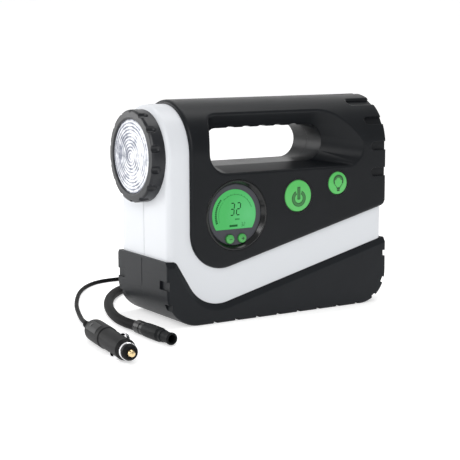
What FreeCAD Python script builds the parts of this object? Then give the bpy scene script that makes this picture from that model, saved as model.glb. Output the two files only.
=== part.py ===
import FreeCAD, Part
import math
import os
from FreeCAD import Rotation, Vector

# Portable 12 V tire inflator with a carry handle and a lamp at its left end.
# Millimetres, +Z up, the display faces -Y, the lamp faces -X, the origin is the middle of the base.

doc = FreeCAD.newDocument("tire_inflator")

# ---------------------------------------------------------------- driving dimensions
sheet = doc.addObject("Spreadsheet::Sheet", "Sizes")
SIZES = [
    ("boot_left", -128.0),
    ("boot_right", 125.0),
    ("half_depth", 50.0),         # front face to middle
    ("arch_z", 158.0),            # centre of the round top, which has the half depth as its radius
    ("skin", 4.0),                # dark covers stand this far proud of the pale housing
    ("wall", 2.5),                # housing wall
    ("cover_left", -102.0),
    ("cover_right", 124.0),
    ("core_left", -125.0),
    ("core_right", 121.5),
    ("rise", 0.25),               # slope of the pale band
    ("cover_edge_z", 67.4),       # height of the cover's lower edge at the middle
    ("boot_edge_z", 34.7),        # height of the boot's upper edge at the middle
    ("left_round", 34.0),         # lower corners of the boot
    ("right_round", 31.0),
    ("tread_width", 8.5),
    ("tread_length", 19.0),
    ("tread_depth", 3.4),
    ("tread_pitch", 26.0),
    ("gauge_x", -53.1),
    ("gauge_z", 100.9),
    ("gauge_radius", 33.6),
    ("power_x", 16.3),
    ("power_z", 114.4),
    ("power_radius", 15.0),
    ("light_x", 63.5),
    ("light_z", 123.8),
    ("light_radius", 10.8),
    ("small_radius", 4.2),
    ("small_gap", 13.5),          # between the minus and plus buttons
    ("small_drop", 22.7),         # below the gauge's centre
    ("lamp_z", 156.5),
    ("lamp_radius", 43.2),
    ("lamp_front", -138.5),
    ("lens_radius", 34.3),
    ("hose_r", 4.7),
    ("cord_r", 2.1),
    ("gear_module", 1.0),
    ("crank_z", 61.0),
    ("crank_throw", 5.0),
    ("rod_length", 42.0),
    ("cylinder_x", -3.0),
    ("bore_r", 13.0),
    ("motor_r", 18.9),
]
for row, (name, value) in enumerate(SIZES, start=1):
    sheet.set("A%d" % row, name)
    sheet.set("B%d" % row, str(value))
    sheet.setAlias("B%d" % row, name)
doc.recompute()


def size(name):
    return float(sheet.get(name))


BOOT_LEFT = size("boot_left")
BOOT_RIGHT = size("boot_right")
DEPTH = size("half_depth")
ARCH_Z = size("arch_z")
SKIN = size("skin")
WALL = size("wall")
GAUGE_X = size("gauge_x")
GAUGE_Z = size("gauge_z")
LAMP_Z = size("lamp_z")
CRANK_Z = size("crank_z")
THROW = size("crank_throw")
CYLINDER_X = size("cylinder_x")

X_AXIS = Vector(1, 0, 0)
Y_AXIS = Vector(0, 1, 0)
Z_AXIS = Vector(0, 0, 1)
FACE_XZ = Rotation(X_AXIS, 90)                  # sketch x, y become x, z
FACE_YZ = Rotation(Vector(1, 1, 1), 120)        # sketch x, y become y, z
ALONG_X = Rotation(Y_AXIS, 90)
RADIAL_X = Rotation(Vector(1, 1, 1), 240)       # sketch x, y become z, x
ALONG_Y = Rotation(X_AXIS, -90)
UPRIGHT = Rotation()

kept = {}


# ---------------------------------------------------------------- small helpers
def fresh(kind, label):
    return doc.addObject(kind, label)


def setting(obj, name, value):
    """Sets a property to a number, or binds it to the sheet when the value is text."""
    if isinstance(value, str):
        obj.setExpression(name, value)
    else:
        setattr(obj, name, value)


def place(obj, spot, turn=UPRIGHT):
    numbers = [0.0 if isinstance(part, str) else part for part in spot]
    obj.Placement = FreeCAD.Placement(Vector(*numbers), turn)
    for axis, part in zip("xyz", spot):
        if isinstance(part, str):
            obj.setExpression("Placement.Base." + axis, part)
    return obj


def cylinder(label, radius, height, spot, turn=UPRIGHT):
    obj = fresh("Part::Cylinder", label)
    setting(obj, "Radius", radius)
    setting(obj, "Height", height)
    return place(obj, spot, turn)


def block(label, length, width, height, spot, turn=UPRIGHT):
    obj = fresh("Part::Box", label)
    setting(obj, "Length", length)
    setting(obj, "Width", width)
    setting(obj, "Height", height)
    return place(obj, spot, turn)


def ball(label, radius, spot):
    obj = fresh("Part::Sphere", label)
    setting(obj, "Radius", radius)
    return place(obj, spot)


def cut(label, base, *tools):
    obj = fresh("Part::Cut", label)
    obj.Refine = False
    obj.Base = base
    obj.Tool = tools[0] if len(tools) == 1 else group(label + "_tools", *tools)
    return obj


def group(label, *pieces):
    obj = fresh("Part::MultiFuse", label)
    obj.Refine = False
    obj.Shapes = list(pieces)
    return obj


def common(label, *pieces):
    obj = fresh("Part::MultiCommon", label)
    obj.Refine = False
    obj.Shapes = list(pieces)
    return obj


def turned_outline(points):
    """Lines with rounded corners through (u, v, radius) corners, in order, as sketch geometry."""
    starts = []
    ends = []
    arcs = []
    count = len(points)
    for index in range(count):
        here = Vector(points[index][0], points[index][1], 0)
        before = Vector(points[index - 1][0], points[index - 1][1], 0)
        after_point = points[(index + 1) % count]
        after = Vector(after_point[0], after_point[1], 0)
        back = (before - here).normalize()
        ahead = (after - here).normalize()
        radius = points[index][2]
        half_angle = back.getAngle(ahead) / 2
        reach = radius / math.tan(half_angle) if radius else 0.0
        starts.append(here + back * reach)
        ends.append(here + ahead * reach)
        if radius:
            inward = (back + ahead).normalize()
            middle = here + inward * (radius / math.sin(half_angle) - radius)
            arcs.append(Part.Arc(starts[-1], middle, ends[-1]))
        else:
            arcs.append(None)
    geometry = []
    for index in range(count):
        if arcs[index]:
            geometry.append(arcs[index])
        following = starts[(index + 1) % count]
        if ends[index].distanceToPoint(following) > 1e-4:
            geometry.append(Part.LineSegment(ends[index], following))
    return geometry


def sketch(label, points, spot, turn):
    obj = fresh("Sketcher::SketchObject", label)
    obj.addGeometry(turned_outline(points), False)
    obj.Placement = FreeCAD.Placement(Vector(*spot), turn)
    return obj


def extrude(label, profile, direction, length):
    obj = fresh("Part::Extrusion", label)
    obj.Base = profile
    obj.DirMode = "Custom"
    obj.Dir = direction
    setting(obj, "LengthFwd", length)
    obj.Solid = True
    return obj


def turn_about(label, points, spot, turn, axis):
    """A turned piece: the outline of (radius, height) corners swept about the axis."""
    profile = sketch(label + "_profile", points, spot, turn)
    obj = fresh("Part::Revolution", label)
    obj.Source = profile
    obj.Axis = axis
    obj.Base = Vector(*spot)
    obj.Angle = 360.0
    obj.Solid = True
    return obj


def soften(label, base, rules):
    """Rounds edges of the base: each rule is (test on the edge, start radius, end radius)."""
    doc.recompute()
    picked = []
    for number, edge in enumerate(base.Shape.Edges, start=1):
        for test, first, second in rules:
            if test(edge):
                picked.append((number, first, second))
                break
    obj = fresh("Part::Fillet", label)
    obj.Base = base
    obj.Edges = picked
    return obj


def keep(name, obj):
    obj.Label = name
    kept[name] = obj
    return obj


def split(front_name, rear_name, whole):
    """Cuts a shell into its front and rear halves at the parting plane."""
    length = 4 * BOOT_RIGHT
    for name, low in ((front_name, -2 * DEPTH), (rear_name, 0.0)):
        half_space = block(name + "_side", length, 2 * DEPTH, length, (-length / 2, low, -length / 2))
        keep(name, common(name, whole, half_space))


def on_plane(axis, value, slack=0.01):
    """A test for edges that lie wholly in one plane across an axis."""
    def test(edge):
        box = edge.BoundBox
        low, high = {"x": (box.XMin, box.XMax), "y": (box.YMin, box.YMax), "z": (box.ZMin, box.ZMax)}[axis]
        return abs(low - value) < slack and abs(high - value) < slack
    return test


def tombstone(label, half, bottom, left, right):
    """The section of the whole body, flat-sided with a round top, run along X."""
    corners = [(-half, bottom, 0), (half, bottom, 0), (half, ARCH_Z + half, half), (-half, ARCH_Z + half, half)]
    profile = sketch(label + "_section", corners, (left, 0, 0), FACE_YZ)
    return extrude(label, profile, X_AXIS, right - left)


def across(label, corners, half):
    """An outline in X and Z run through the body from front to rear."""
    profile = sketch(label + "_outline", corners, (0, -half, 0), FACE_XZ)
    return extrude(label, profile, Y_AXIS, 2 * half)


# ---------------------------------------------------------------- outlines
RISE = size("rise")
TOP = ARCH_Z + DEPTH + 12
COVER_LEFT = size("cover_left")
COVER_RIGHT = size("cover_right")
CORE_LEFT = size("core_left")
CORE_RIGHT = size("core_right")


def cover_line(x):
    return size("cover_edge_z") + RISE * x


def boot_line(x):
    return size("boot_edge_z") + RISE * x


def cover_outline():
    return [(COVER_LEFT, cover_line(COVER_LEFT), 34.0), (COVER_RIGHT, cover_line(COVER_RIGHT), 7.0),
            (COVER_RIGHT, TOP, 0), (COVER_LEFT, TOP, 0)]


def boot_outline():
    shoulder = 62.0
    return [(BOOT_LEFT, 0, size("left_round")), (BOOT_RIGHT, 0, size("right_round")),
            (BOOT_RIGHT, boot_line(BOOT_RIGHT), 2.0), (-88.0, boot_line(-88.0), 36.0),
            (-117.5, shoulder, 6.0), (BOOT_LEFT, shoulder, 0)]


HOLE_SECTION = 24.0                     # the hand hole runs straight this far each side of the middle


def hand_outline(share, grow):
    """The hand hole: share 0 is the straight hole, share 1 is the mouth at the front face."""
    bend = 17.7
    reach = bend / math.cos(math.radians(30))
    centre_x = 44.3
    centre_z = 163.1
    hole = [(-70.4, centre_z + bend, 9.0), (centre_x + reach / 2, centre_z + bend, bend - 0.3),
            (centre_x + reach, centre_z, bend - 0.3), (centre_x + reach / 2, centre_z - bend, bend - 0.3),
            (-70.4, centre_z - bend, 9.0)]
    mouth = [(-82.0, 216.0, 9.0), (70.0, 216.0, 30.0), (99.0, 153.5, 14.0), (84.0, 140.2, 9.0),
             (-82.0, 140.2, 20.0)]
    mixed = []
    for near, far in zip(hole, mouth):
        mixed.append([a + (b - a) * share for a, b in zip(near, far)])
    return [tuple(corner) for corner in grown(mixed, grow)]


def grown(corners, amount):
    """Moves each side of a clockwise or anticlockwise outline outward and mends the corners."""
    count = len(corners)
    area = sum(corners[i - 1][0] * corners[i][1] - corners[i][0] * corners[i - 1][1] for i in range(count))
    side = 1.0 if area > 0 else -1.0
    moved = []
    for index in range(count):
        ax, az, _ = corners[index - 1]
        bx, bz, radius = corners[index]
        cx, cz, _ = corners[(index + 1) % count]
        first = math.hypot(bx - ax, bz - az)
        second = math.hypot(cx - bx, cz - bz)
        n1 = (side * (bz - az) / first, -side * (bx - ax) / first)
        n2 = (side * (cz - bz) / second, -side * (cx - bx) / second)
        scale = amount / (1 + n1[0] * n2[0] + n1[1] * n2[1])
        moved.append((bx + (n1[0] + n2[0]) * scale, bz + (n1[1] + n2[1]) * scale, radius + amount))
    return moved


def hand_tool(label, grow):
    """The flared hand hole as a solid, straight in the middle and wide at both faces."""
    reach = DEPTH + 4
    share = (reach - HOLE_SECTION) / (DEPTH - HOLE_SECTION)
    sections = []
    for number, (spot, amount) in enumerate([(-reach, share), (-HOLE_SECTION, 0), (HOLE_SECTION, 0),
                                             (reach, share)]):
        sections.append(sketch("%s_section_%d" % (label, number), hand_outline(amount, grow),
                               (0, spot, 0), FACE_XZ))
    obj = fresh("Part::Loft", label)
    obj.Sections = sections
    obj.Solid = True
    obj.Ruled = True
    return obj


# ---------------------------------------------------------------- pale housing core
def core_solid(label, inset):
    """The housing's outer form, or its hollow when it is set in by the wall."""
    half = DEPTH - SKIN - inset
    bottom = SKIN + inset
    left = CORE_LEFT + inset
    right = CORE_RIGHT - inset
    bar = tombstone(label + "_bar", half, bottom - 5, left, right)
    outline = [(left, bottom, size("left_round") - SKIN - inset), (right, bottom, size("right_round") - SKIN - inset),
               (right, TOP, 0), (left, TOP, 0)]
    plate = across(label + "_plate", outline, half + 5)
    raw = common(label + "_raw", bar, plate)
    return soften(label, raw, [(on_plane("x", left), 5.0 - inset, 5.0 - inset)])


core_outer = core_solid("core_outer", 0.0)
core_hollow = core_solid("core_hollow", WALL)
hand_hole = hand_tool("hand_hole", 0.0)
hand_tub = hand_tool("hand_tub", WALL)


def disc_y(label, radius, x, z, low, high):
    """A disc across the body, from y = low to y = high."""
    return cylinder(label, radius, high - low, (x, low, z), ALONG_Y)


def screw_spots():
    return [(-104.0, 88.0), (-104.0, 20.0), (57.0, 20.0), (104.0, 128.0), (-30.0, 20.0), (104.0, 76.0)]


core_holes = [
    disc_y("core_gauge_hole", "Sizes.gauge_radius - 3", GAUGE_X, GAUGE_Z, -DEPTH, -30),
    disc_y("core_power_hole", "Sizes.power_radius + 2.5", size("power_x"), size("power_z"), -DEPTH, -30),
    disc_y("core_light_hole", "Sizes.light_radius + 2.5", size("light_x"), size("light_z"), -DEPTH, -30),
    cylinder("core_lamp_hole", 36.4, 30.0, (CORE_LEFT - 5, 0, "Sizes.lamp_z"), ALONG_X),
]
HOSE_EXIT_X = 20.0
HOSE_EXIT_Z = 19.0
CORD_EXIT_X = 95.0
CORD_EXIT_Z = 26.0
GLAND_HOLE = 7.4
exit_holes = [
    disc_y("hose_exit_hole", GLAND_HOLE, HOSE_EXIT_X, HOSE_EXIT_Z, 30, DEPTH + 5),
    disc_y("cord_exit_hole", GLAND_HOLE, CORD_EXIT_X, CORD_EXIT_Z, 30, DEPTH + 5),
]
screw_holes = [disc_y("screw_hole_%d" % n, 3.2, x, z, 30, DEPTH + 5) for n, (x, z) in enumerate(screw_spots())]
vent_slots = []
for number in range(7):
    slot_x = 20.0 + 9.0 * number
    middle = (cover_line(slot_x) + boot_line(slot_x)) / 2
    vent_slots.append(block("vent_slot_%d" % number, 4.0, 20.0, 20.0, (slot_x, 35, middle - 10)))
core_walls = cut("core_walls", core_outer, core_hollow)
core_shell = cut("core_shell", core_walls, hand_tub, *core_holes, *exit_holes, *screw_holes, *vent_slots)
split("front_housing", "rear_housing", core_shell)

# ---------------------------------------------------------------- dark upper cover with the handle
cover_bar = tombstone("cover_bar", DEPTH, 40.0, COVER_LEFT, COVER_RIGHT)
cover_plate = across("cover_plate", cover_outline(), DEPTH + 5)
cover_raw = common("cover_raw", cover_bar, cover_plate)


def low_cover_edge(edge):
    """The front and rear edges along the cover's slanted lower side, its corner included."""
    box = edge.BoundBox
    flat = abs(abs(box.YMin) - DEPTH) < 0.01 and abs(box.YMin - box.YMax) < 0.01
    return flat and box.ZMax < 112 and box.XMin > -70


def round_cover_edge(edge):
    box = edge.BoundBox
    flat = abs(abs(box.YMin) - DEPTH) < 0.01 and abs(box.YMin - box.YMax) < 0.01
    return (flat and box.XMax < -50 and box.ZMax < 100) or on_plane("x", COVER_LEFT)(edge)


cover_solid = soften("cover_solid", cover_raw, [
    (low_cover_edge, 3.5, 3.5),
    (round_cover_edge, 3.5, 3.5),
    (lambda edge: on_plane("x", COVER_RIGHT)(edge) and edge.BoundBox.ZMax > 110, 2.4, 2.4),
])


def tread_cutter(label, longer, turn_degrees, lift):
    """A round-ended notch sunk into the right end, on the flat side or turned about the arch."""
    width = size("tread_width")
    inner = COVER_RIGHT - size("tread_length") - longer + width / 2
    bottom = DEPTH - size("tread_depth")
    bar = block(label + "_bar", 50.0, width, 20.0, (inner, -width / 2, bottom))
    end = cylinder(label + "_end", width / 2, 20.0, (inner, 0, bottom))
    both = group(label, bar, end)
    spin = Rotation(X_AXIS, turn_degrees)
    both.Placement = FreeCAD.Placement(Vector(0, 0, ARCH_Z + lift), spin)
    return both


treads = []
for side, sign in (("front", 1), ("rear", -1)):
    for number, (angle, longer) in enumerate(((90, 0.0), (60, 4.0), (30, 12.0))):
        treads.append(tread_cutter("tread_%s_%d" % (side, number), longer, sign * angle, 0))
    treads.append(tread_cutter("tread_%s_low" % side, 0, sign * 90, -size("tread_pitch")))
treads.append(tread_cutter("tread_top", 12.0, 0, 0))
tub_part = common("tub_part", hand_tub, cover_bar)
cover_skin = cut("cover_skin", cover_solid, core_outer)
cover_body = group("cover_body", cover_skin, tub_part)
cover_holes = [
    disc_y("cover_gauge_hole", "Sizes.gauge_radius", GAUGE_X, GAUGE_Z, -DEPTH - 5, -40),
    disc_y("cover_power_hole", "Sizes.power_radius + 0.5", size("power_x"), size("power_z"), -DEPTH - 5, -40),
    disc_y("cover_light_hole", "Sizes.light_radius + 0.5", size("light_x"), size("light_z"), -DEPTH - 5, -40),
]
cover_screws = [disc_y("cover_screw_%d" % n, 3.2, x, z, 30, DEPTH + 5) for n, (x, z) in enumerate(screw_spots())]
scallops = []
for number in range(5):
    spot = -44.0 + 18.0 * number
    scallops.append(cylinder("scallop_%d" % number, 9.0, 2 * DEPTH, (spot, -DEPTH, 173.2), ALONG_Y))
cover_cut = cut("cover_cut", cover_body, hand_hole, *treads, *cover_holes, *cover_screws, *scallops)


def on_outside(point):
    """Whether a point lies on the cover's flat face or on its round top."""
    if point.z <= ARCH_Z:
        return abs(abs(point.y) - DEPTH) < 0.05
    return abs(math.hypot(point.y, point.z - ARCH_Z) - DEPTH) < 0.05


def hand_rim_edge(edge):
    """The edges round the mouth of the hand hole, on the outside of the cover."""
    if edge.Length < 0.001:
        return False
    span = edge.LastParameter - edge.FirstParameter
    spots = [edge.valueAt(edge.FirstParameter + span * step / 4) for step in range(5)]
    return all(on_outside(p) and -90 < p.x < 102 and p.z > 140 and abs(p.y) > 5 for p in spots)


RIM_ROUND = 2.5
cover_soft = soften("cover_soft", cover_cut, [(hand_rim_edge, RIM_ROUND, RIM_ROUND)])
split("front_cover", "rear_cover", cover_soft)

# ---------------------------------------------------------------- boot round the base
BOOT_BEVEL = 5.5
BOOT_BEVEL_IN = 3.6


def low_boot_outline():
    """The boot's outline on its front and rear faces, below the bevel along its upper edge."""
    plain = boot_outline()
    lowered = grown(plain, -BOOT_BEVEL)
    right_drop = BOOT_BEVEL * math.hypot(1.0, RISE)
    right = (BOOT_RIGHT, plain[2][1] - right_drop, plain[2][2])
    valley = (lowered[3][0], lowered[3][1], plain[3][2] + BOOT_BEVEL)
    return [plain[0], plain[1], right, valley, lowered[4], (BOOT_LEFT, lowered[5][1], 0)]


boot_sections = []
for number, (spot, corners) in enumerate([(-DEPTH, low_boot_outline()), (BOOT_BEVEL_IN - DEPTH, boot_outline()),
                                          (DEPTH - BOOT_BEVEL_IN, boot_outline()),
                                          (DEPTH, low_boot_outline())]):
    boot_sections.append(sketch("boot_section_%d" % number, corners, (0, spot, 0), FACE_XZ))
boot_raw = fresh("Part::Loft", "boot_raw")
boot_raw.Sections = boot_sections
boot_raw.Solid = True
boot_raw.Ruled = True


foot_outline = [(BOOT_LEFT, 0, size("left_round")), (BOOT_RIGHT, 0, size("right_round")),
                (BOOT_RIGHT, TOP, 0), (BOOT_LEFT, TOP, 0)]
foot_raw = across("foot_raw", foot_outline, DEPTH)
foot_block = soften("foot_block", foot_raw, [
    (lambda edge: edge.BoundBox.ZMin < TOP - 1 and (on_plane("y", DEPTH)(edge) or on_plane("y", -DEPTH)(edge)),
     2.2, 2.2)])
boot_solid = common("boot_solid", boot_raw, foot_block)
sole_notches = []
for number in range(8):
    spot = -76.4 + 23.7 * number
    sole_notches.append(block("sole_bar_%d" % number, 5.0, 2 * DEPTH + 4, 3.0, (spot - 2.5, -DEPTH - 2, -0.5)))
corner_notches = []
for number, (x, z, angle) in enumerate([(125.0, 46.0, 0), (122.6, 20.0, 25), (111.5, 6.4, 55)]):
    corner_notches.append(block("corner_notch_%d" % number, 9.0, 2 * DEPTH + 4, 6.0, (x - 4, -DEPTH - 2, z),
                                Rotation(Y_AXIS, angle)))
for side in (-1, 1):
    for number, (z, reach, tall) in enumerate([(36.0, 15.0, 8.0), (16.0, 10.0, 6.5)]):
        middle = side * (DEPTH - reach / 2 + 2)
        bar = block("left_bar_%d_%d" % (side, number), 3.2 + 3 * number, reach + 4, tall,
                    (BOOT_LEFT - 1, middle - reach / 2 - 2, z))
        corner_notches.append(bar)
boot_hollow = cut("boot_hollow", boot_solid, core_outer, *sole_notches, *corner_notches, *exit_holes,
                  *[disc_y("boot_screw_%d" % n, 3.2, x, z, 30, DEPTH + 5)
                    for n, (x, z) in enumerate(screw_spots())])
split("front_boot", "rear_boot", boot_hollow)

# ---------------------------------------------------------------- screws in the rear shells
screws = []
for number, (x, z) in enumerate(screw_spots()):
    head = cylinder("screw_head_%d" % number, 3.0, 2.4, (x, DEPTH - SKIN - WALL + 1.4, z), ALONG_Y)
    shank = cylinder("screw_shank_%d" % number, 1.5, 16.0, (x, DEPTH - SKIN - WALL - 14.6, z), ALONG_Y)
    recess = block("screw_slot_%d" % number, 3.6, 2.0, 0.9, (x - 1.8, DEPTH - SKIN - WALL + 2.8, z - 0.45))
    recess_up = block("screw_slot_up_%d" % number, 0.9, 2.0, 3.6,
                      (x - 0.45, DEPTH - SKIN - WALL + 2.8, z - 1.8))
    screws.append(cut("screw_%d" % number, group("screw_body_%d" % number, head, shank), recess, recess_up))
keep("housing_screws", group("housing_screws", *screws))

# ---------------------------------------------------------------- lamp at the left end
LAMP_FRONT = size("lamp_front")
LAMP_R = size("lamp_radius")
LENS_R = size("lens_radius")


def turned_x(label, points, x):
    """A piece turned about the lamp's axis, from (radius, distance behind x) corners."""
    return turn_about(label, points, (x, 0, LAMP_Z), RADIAL_X, X_AXIS)


bezel_back = CORE_LEFT - LAMP_FRONT
bezel_raw = turned_x("bezel_raw", [
    (LENS_R + 0.4, 1.0, 0.5), (LENS_R + 1.6, 0.0, 0.8), (LAMP_R - 1.4, 0.4, 0.8), (LAMP_R, 2.4, 1.0),
    (LAMP_R, bezel_back, 0), (36.2, bezel_back, 0), (36.2, bezel_back + 8.0, 0), (33.0, bezel_back + 8.0, 0),
    (33.0, 3.2, 0), (LENS_R + 0.4, 3.2, 0)], LAMP_FRONT)
grips = []
NOTCH_R = 4.0
NOTCH_LONG = 5.4
for number in range(14):
    angle = math.radians(12.9 + 360.0 / 14 * number)
    ring = LAMP_R + 1.4
    spot = (LAMP_FRONT + NOTCH_LONG, ring * math.cos(angle), LAMP_Z + ring * math.sin(angle))
    groove = cylinder("grip_groove_%d" % number, NOTCH_R, NOTCH_LONG + 1.0,
                      (LAMP_FRONT - 1.0, spot[1], spot[2]), ALONG_X)
    grips.append(group("grip_notch_%d" % number, groove, ball("grip_end_%d" % number, NOTCH_R, spot)))
keep("lamp_bezel", cut("lamp_bezel", bezel_raw, *grips))
keep("lamp_lens", turned_x("lamp_lens", [
    (0.0, 0.0, 0), (20.0, 0.3, 30.0), (LENS_R, 1.1, 0), (LENS_R, 3.1, 0), (0.0, 2.4, 0)], LAMP_FRONT))
keep("lamp_reflector", turned_x("lamp_reflector", [
    (31.8, 3.4, 0), (30.6, 13.0, 6.0), (20.0, 24.0, 6.0), (7.0, 30.0, 0), (7.0, 31.5, 0),
    (20.8, 25.4, 7.0), (32.0, 14.0, 6.0), (32.9, 3.4, 0)], LAMP_FRONT))
led_plate = cylinder("led_plate", 16.0, 1.6, (LAMP_FRONT + 31.5, 0, "Sizes.lamp_z"), ALONG_X)
led_dome = ball("led_dome", 4.0, (LAMP_FRONT + 30.5, 0, "Sizes.lamp_z"))
led_base = cylinder("led_base", 6.0, 1.5, (LAMP_FRONT + 30.0, 0, "Sizes.lamp_z"), ALONG_X)
keep("lamp_led_board", group("lamp_led_board", led_plate, led_dome, led_base))


# ---------------------------------------------------------------- gauge and its display
def round_y(label, points, x, z):
    """A piece turned about a line along Y at x, z, from (radius, y) corners."""
    profile = sketch(label + "_profile", points, (x, 0, z), UPRIGHT)
    obj = fresh("Part::Revolution", label)
    obj.Source = profile
    obj.Axis = Y_AXIS
    obj.Base = Vector(x, 0, z)
    obj.Angle = 360.0
    obj.Solid = True
    return obj


GAUGE_R = size("gauge_radius")
FACE_R = 28.8
keep("gauge_bezel", round_y("gauge_bezel", [
    (GAUGE_R - 0.1, -DEPTH + 0.2, 0.5), (GAUGE_R - 1.6, -DEPTH - 0.4, 0.7), (FACE_R, -46.6, 1.0),
    (FACE_R, -43.0, 0), (30.4, -43.0, 0), (30.4, -46.0, 0), (GAUGE_R - 0.1, -46.0, 0)], GAUGE_X, GAUGE_Z))
face_disc = cylinder("face_disc", FACE_R - 0.1, 2.2, (GAUGE_X, -46.4, GAUGE_Z), ALONG_Y)
WINDOW_R = 24.0
WINDOW_CUT = 13.5
window_disc = cylinder("window_disc", WINDOW_R, 1.4, (GAUGE_X - 1.0, -46.6, GAUGE_Z), ALONG_Y)
window_keep = block("window_keep", 60.0, 6.0, 40.0, (GAUGE_X - 30, -49, GAUGE_Z - WINDOW_CUT))
lcd_window = keep("lcd_window", common("lcd_window", window_disc, window_keep))
small_holes = []
SMALL_SIDE = size("small_gap") / 2
SMALL_MIDDLE = GAUGE_X + 0.6
SMALL_Z = GAUGE_Z - size("small_drop")
for number, side in enumerate((-1, 1)):
    small_holes.append(cylinder("small_hole_%d" % number, "Sizes.small_radius + 0.3", 6.0,
                                (SMALL_MIDDLE + side * SMALL_SIDE, -48, SMALL_Z), ALONG_Y))
keep("gauge_face", cut("gauge_face", face_disc, lcd_window, *small_holes))
keep("lcd_module", block("lcd_module", 38.0, 3.4, 32.0, (GAUGE_X - 19, -44.0, GAUGE_Z - 12.5)))

# ---------------------------------------------------------------- buttons, each with a stem to its switch
SWITCH_Y = -38.6
PLAY = 1.5


def button(name, x, z, radius, front, flange):
    """A domed cap, with or without a flange behind its cover, and a stem just short of the switch."""
    stem_end = SWITCH_Y - PLAY
    back = -43.5 if flange else -42.0
    corners = [(0.0, front - 0.9, 0), (radius * 0.6, front - 0.7, radius), (radius, front, 0.6)]
    if flange:
        corners += [(radius, -45.3, 0), (radius + 1.6, -45.3, 0), (radius + 1.6, back, 0)]
    else:
        corners.append((radius, back, 0))
    corners += [(2.0, back, 0), (2.0, stem_end, 0), (0.0, stem_end, 0)]
    return keep(name, round_y(name, corners, x, z))


button("power_button", size("power_x"), size("power_z"), size("power_radius"), -50.6, True)
button("light_button", size("light_x"), size("light_z"), size("light_radius"), -50.6, True)
button("minus_button", SMALL_MIDDLE - SMALL_SIDE, SMALL_Z, size("small_radius"), -48.4, False)
button("plus_button", SMALL_MIDDLE + SMALL_SIDE, SMALL_Z, size("small_radius"), -48.4, False)
BOARD_Y = -37.0
board_corners = [(-86.0, 66.0, 3.0), (40.0, 66.0, 3.0), (78.0, 100.0, 6.0), (78.0, 133.0, 3.0), (-86.0, 133.0, 3.0)]
board_outline = sketch("board_outline", board_corners, (0, BOARD_Y, 0), FACE_XZ)
keep("control_board", extrude("control_board", board_outline, Y_AXIS, 1.6))
switch_parts = []
for number, (x, z) in enumerate([(size("power_x"), size("power_z")), (size("light_x"), size("light_z")),
                                 (SMALL_MIDDLE - SMALL_SIDE, SMALL_Z), (SMALL_MIDDLE + SMALL_SIDE, SMALL_Z)]):
    base = block("switch_base_%d" % number, 6.0, 1.0, 6.0, (x - 3, BOARD_Y - 1.0, z - 3))
    cap = cylinder("switch_cap_%d" % number, 1.6, 0.6, (x, SWITCH_Y, z), ALONG_Y)
    switch_parts.append(group("switch_%d" % number, base, cap))
keep("tact_switches", group("tact_switches", *switch_parts))
sensor_block = block("sensor_block", 12.0, 6.0, 12.0, (-12, BOARD_Y + 1.6, 76))
sensor_port = cylinder("sensor_port", 1.6, 7.0, (-6, BOARD_Y + 7.6, 82), ALONG_Y)
keep("pressure_sensor", group("pressure_sensor", sensor_block, sensor_port))

# ---------------------------------------------------------------- compressor: motor, gears, rod and piston
MODULE = size("gear_module")
PINION_TEETH = 12
GEAR_TEETH = 48
PINION_R = MODULE * PINION_TEETH / 2
GEAR_R = MODULE * GEAR_TEETH / 2
MOTOR_Z = CRANK_Z - PINION_R - GEAR_R
GEAR_X = 6.0
GEAR_WIDE = 7.0
MOTOR_X = 20.0
PRESSURE_ANGLE = math.radians(20)


def involute_turn(base_radius, radius):
    """The angle an involute has turned through by the time it reaches a radius."""
    roll = math.sqrt(max((radius / base_radius) ** 2 - 1, 0.0))
    return roll - math.atan(roll)


def gear_shape(teeth, width, bore, backlash, first_angle):
    """A spur gear with involute flanks, its axis along +X through the origin."""
    pitch = MODULE * teeth / 2
    base = pitch * math.cos(PRESSURE_ANGLE)
    outer = pitch + 0.92 * MODULE
    root = pitch - 1.2 * MODULE
    involute = math.tan(PRESSURE_ANGLE) - PRESSURE_ANGLE
    half_tooth = math.pi / (2 * teeth) - backlash / (2 * pitch)
    corners = []
    for tooth in range(teeth):
        middle = first_angle + 2 * math.pi * tooth / teeth
        flank = []
        for step in range(5):
            radius = max(base, root) + (outer - max(base, root)) * step / 4
            flank.append((radius, half_tooth + involute - involute_turn(base, radius)))
        points = [(root, half_tooth + involute)] + flank
        for radius, offset in points:
            corners.append((radius, middle - offset))
        for radius, offset in reversed(points):
            corners.append((radius, middle + offset))
    loop = [Vector(0, r * math.cos(a), r * math.sin(a)) for r, a in corners]
    loop.append(loop[0])
    blank = Part.Face(Part.makePolygon(loop)).extrude(Vector(width, 0, 0))
    if bore:
        blank = blank.cut(Part.makeCylinder(bore, width, Vector(0, 0, 0), X_AXIS))
    return blank


def shaped(name, shape, spot):
    obj = fresh("Part::Feature", name)
    obj.Shape = shape
    obj.Placement = FreeCAD.Placement(Vector(*spot), UPRIGHT)
    return obj


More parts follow.
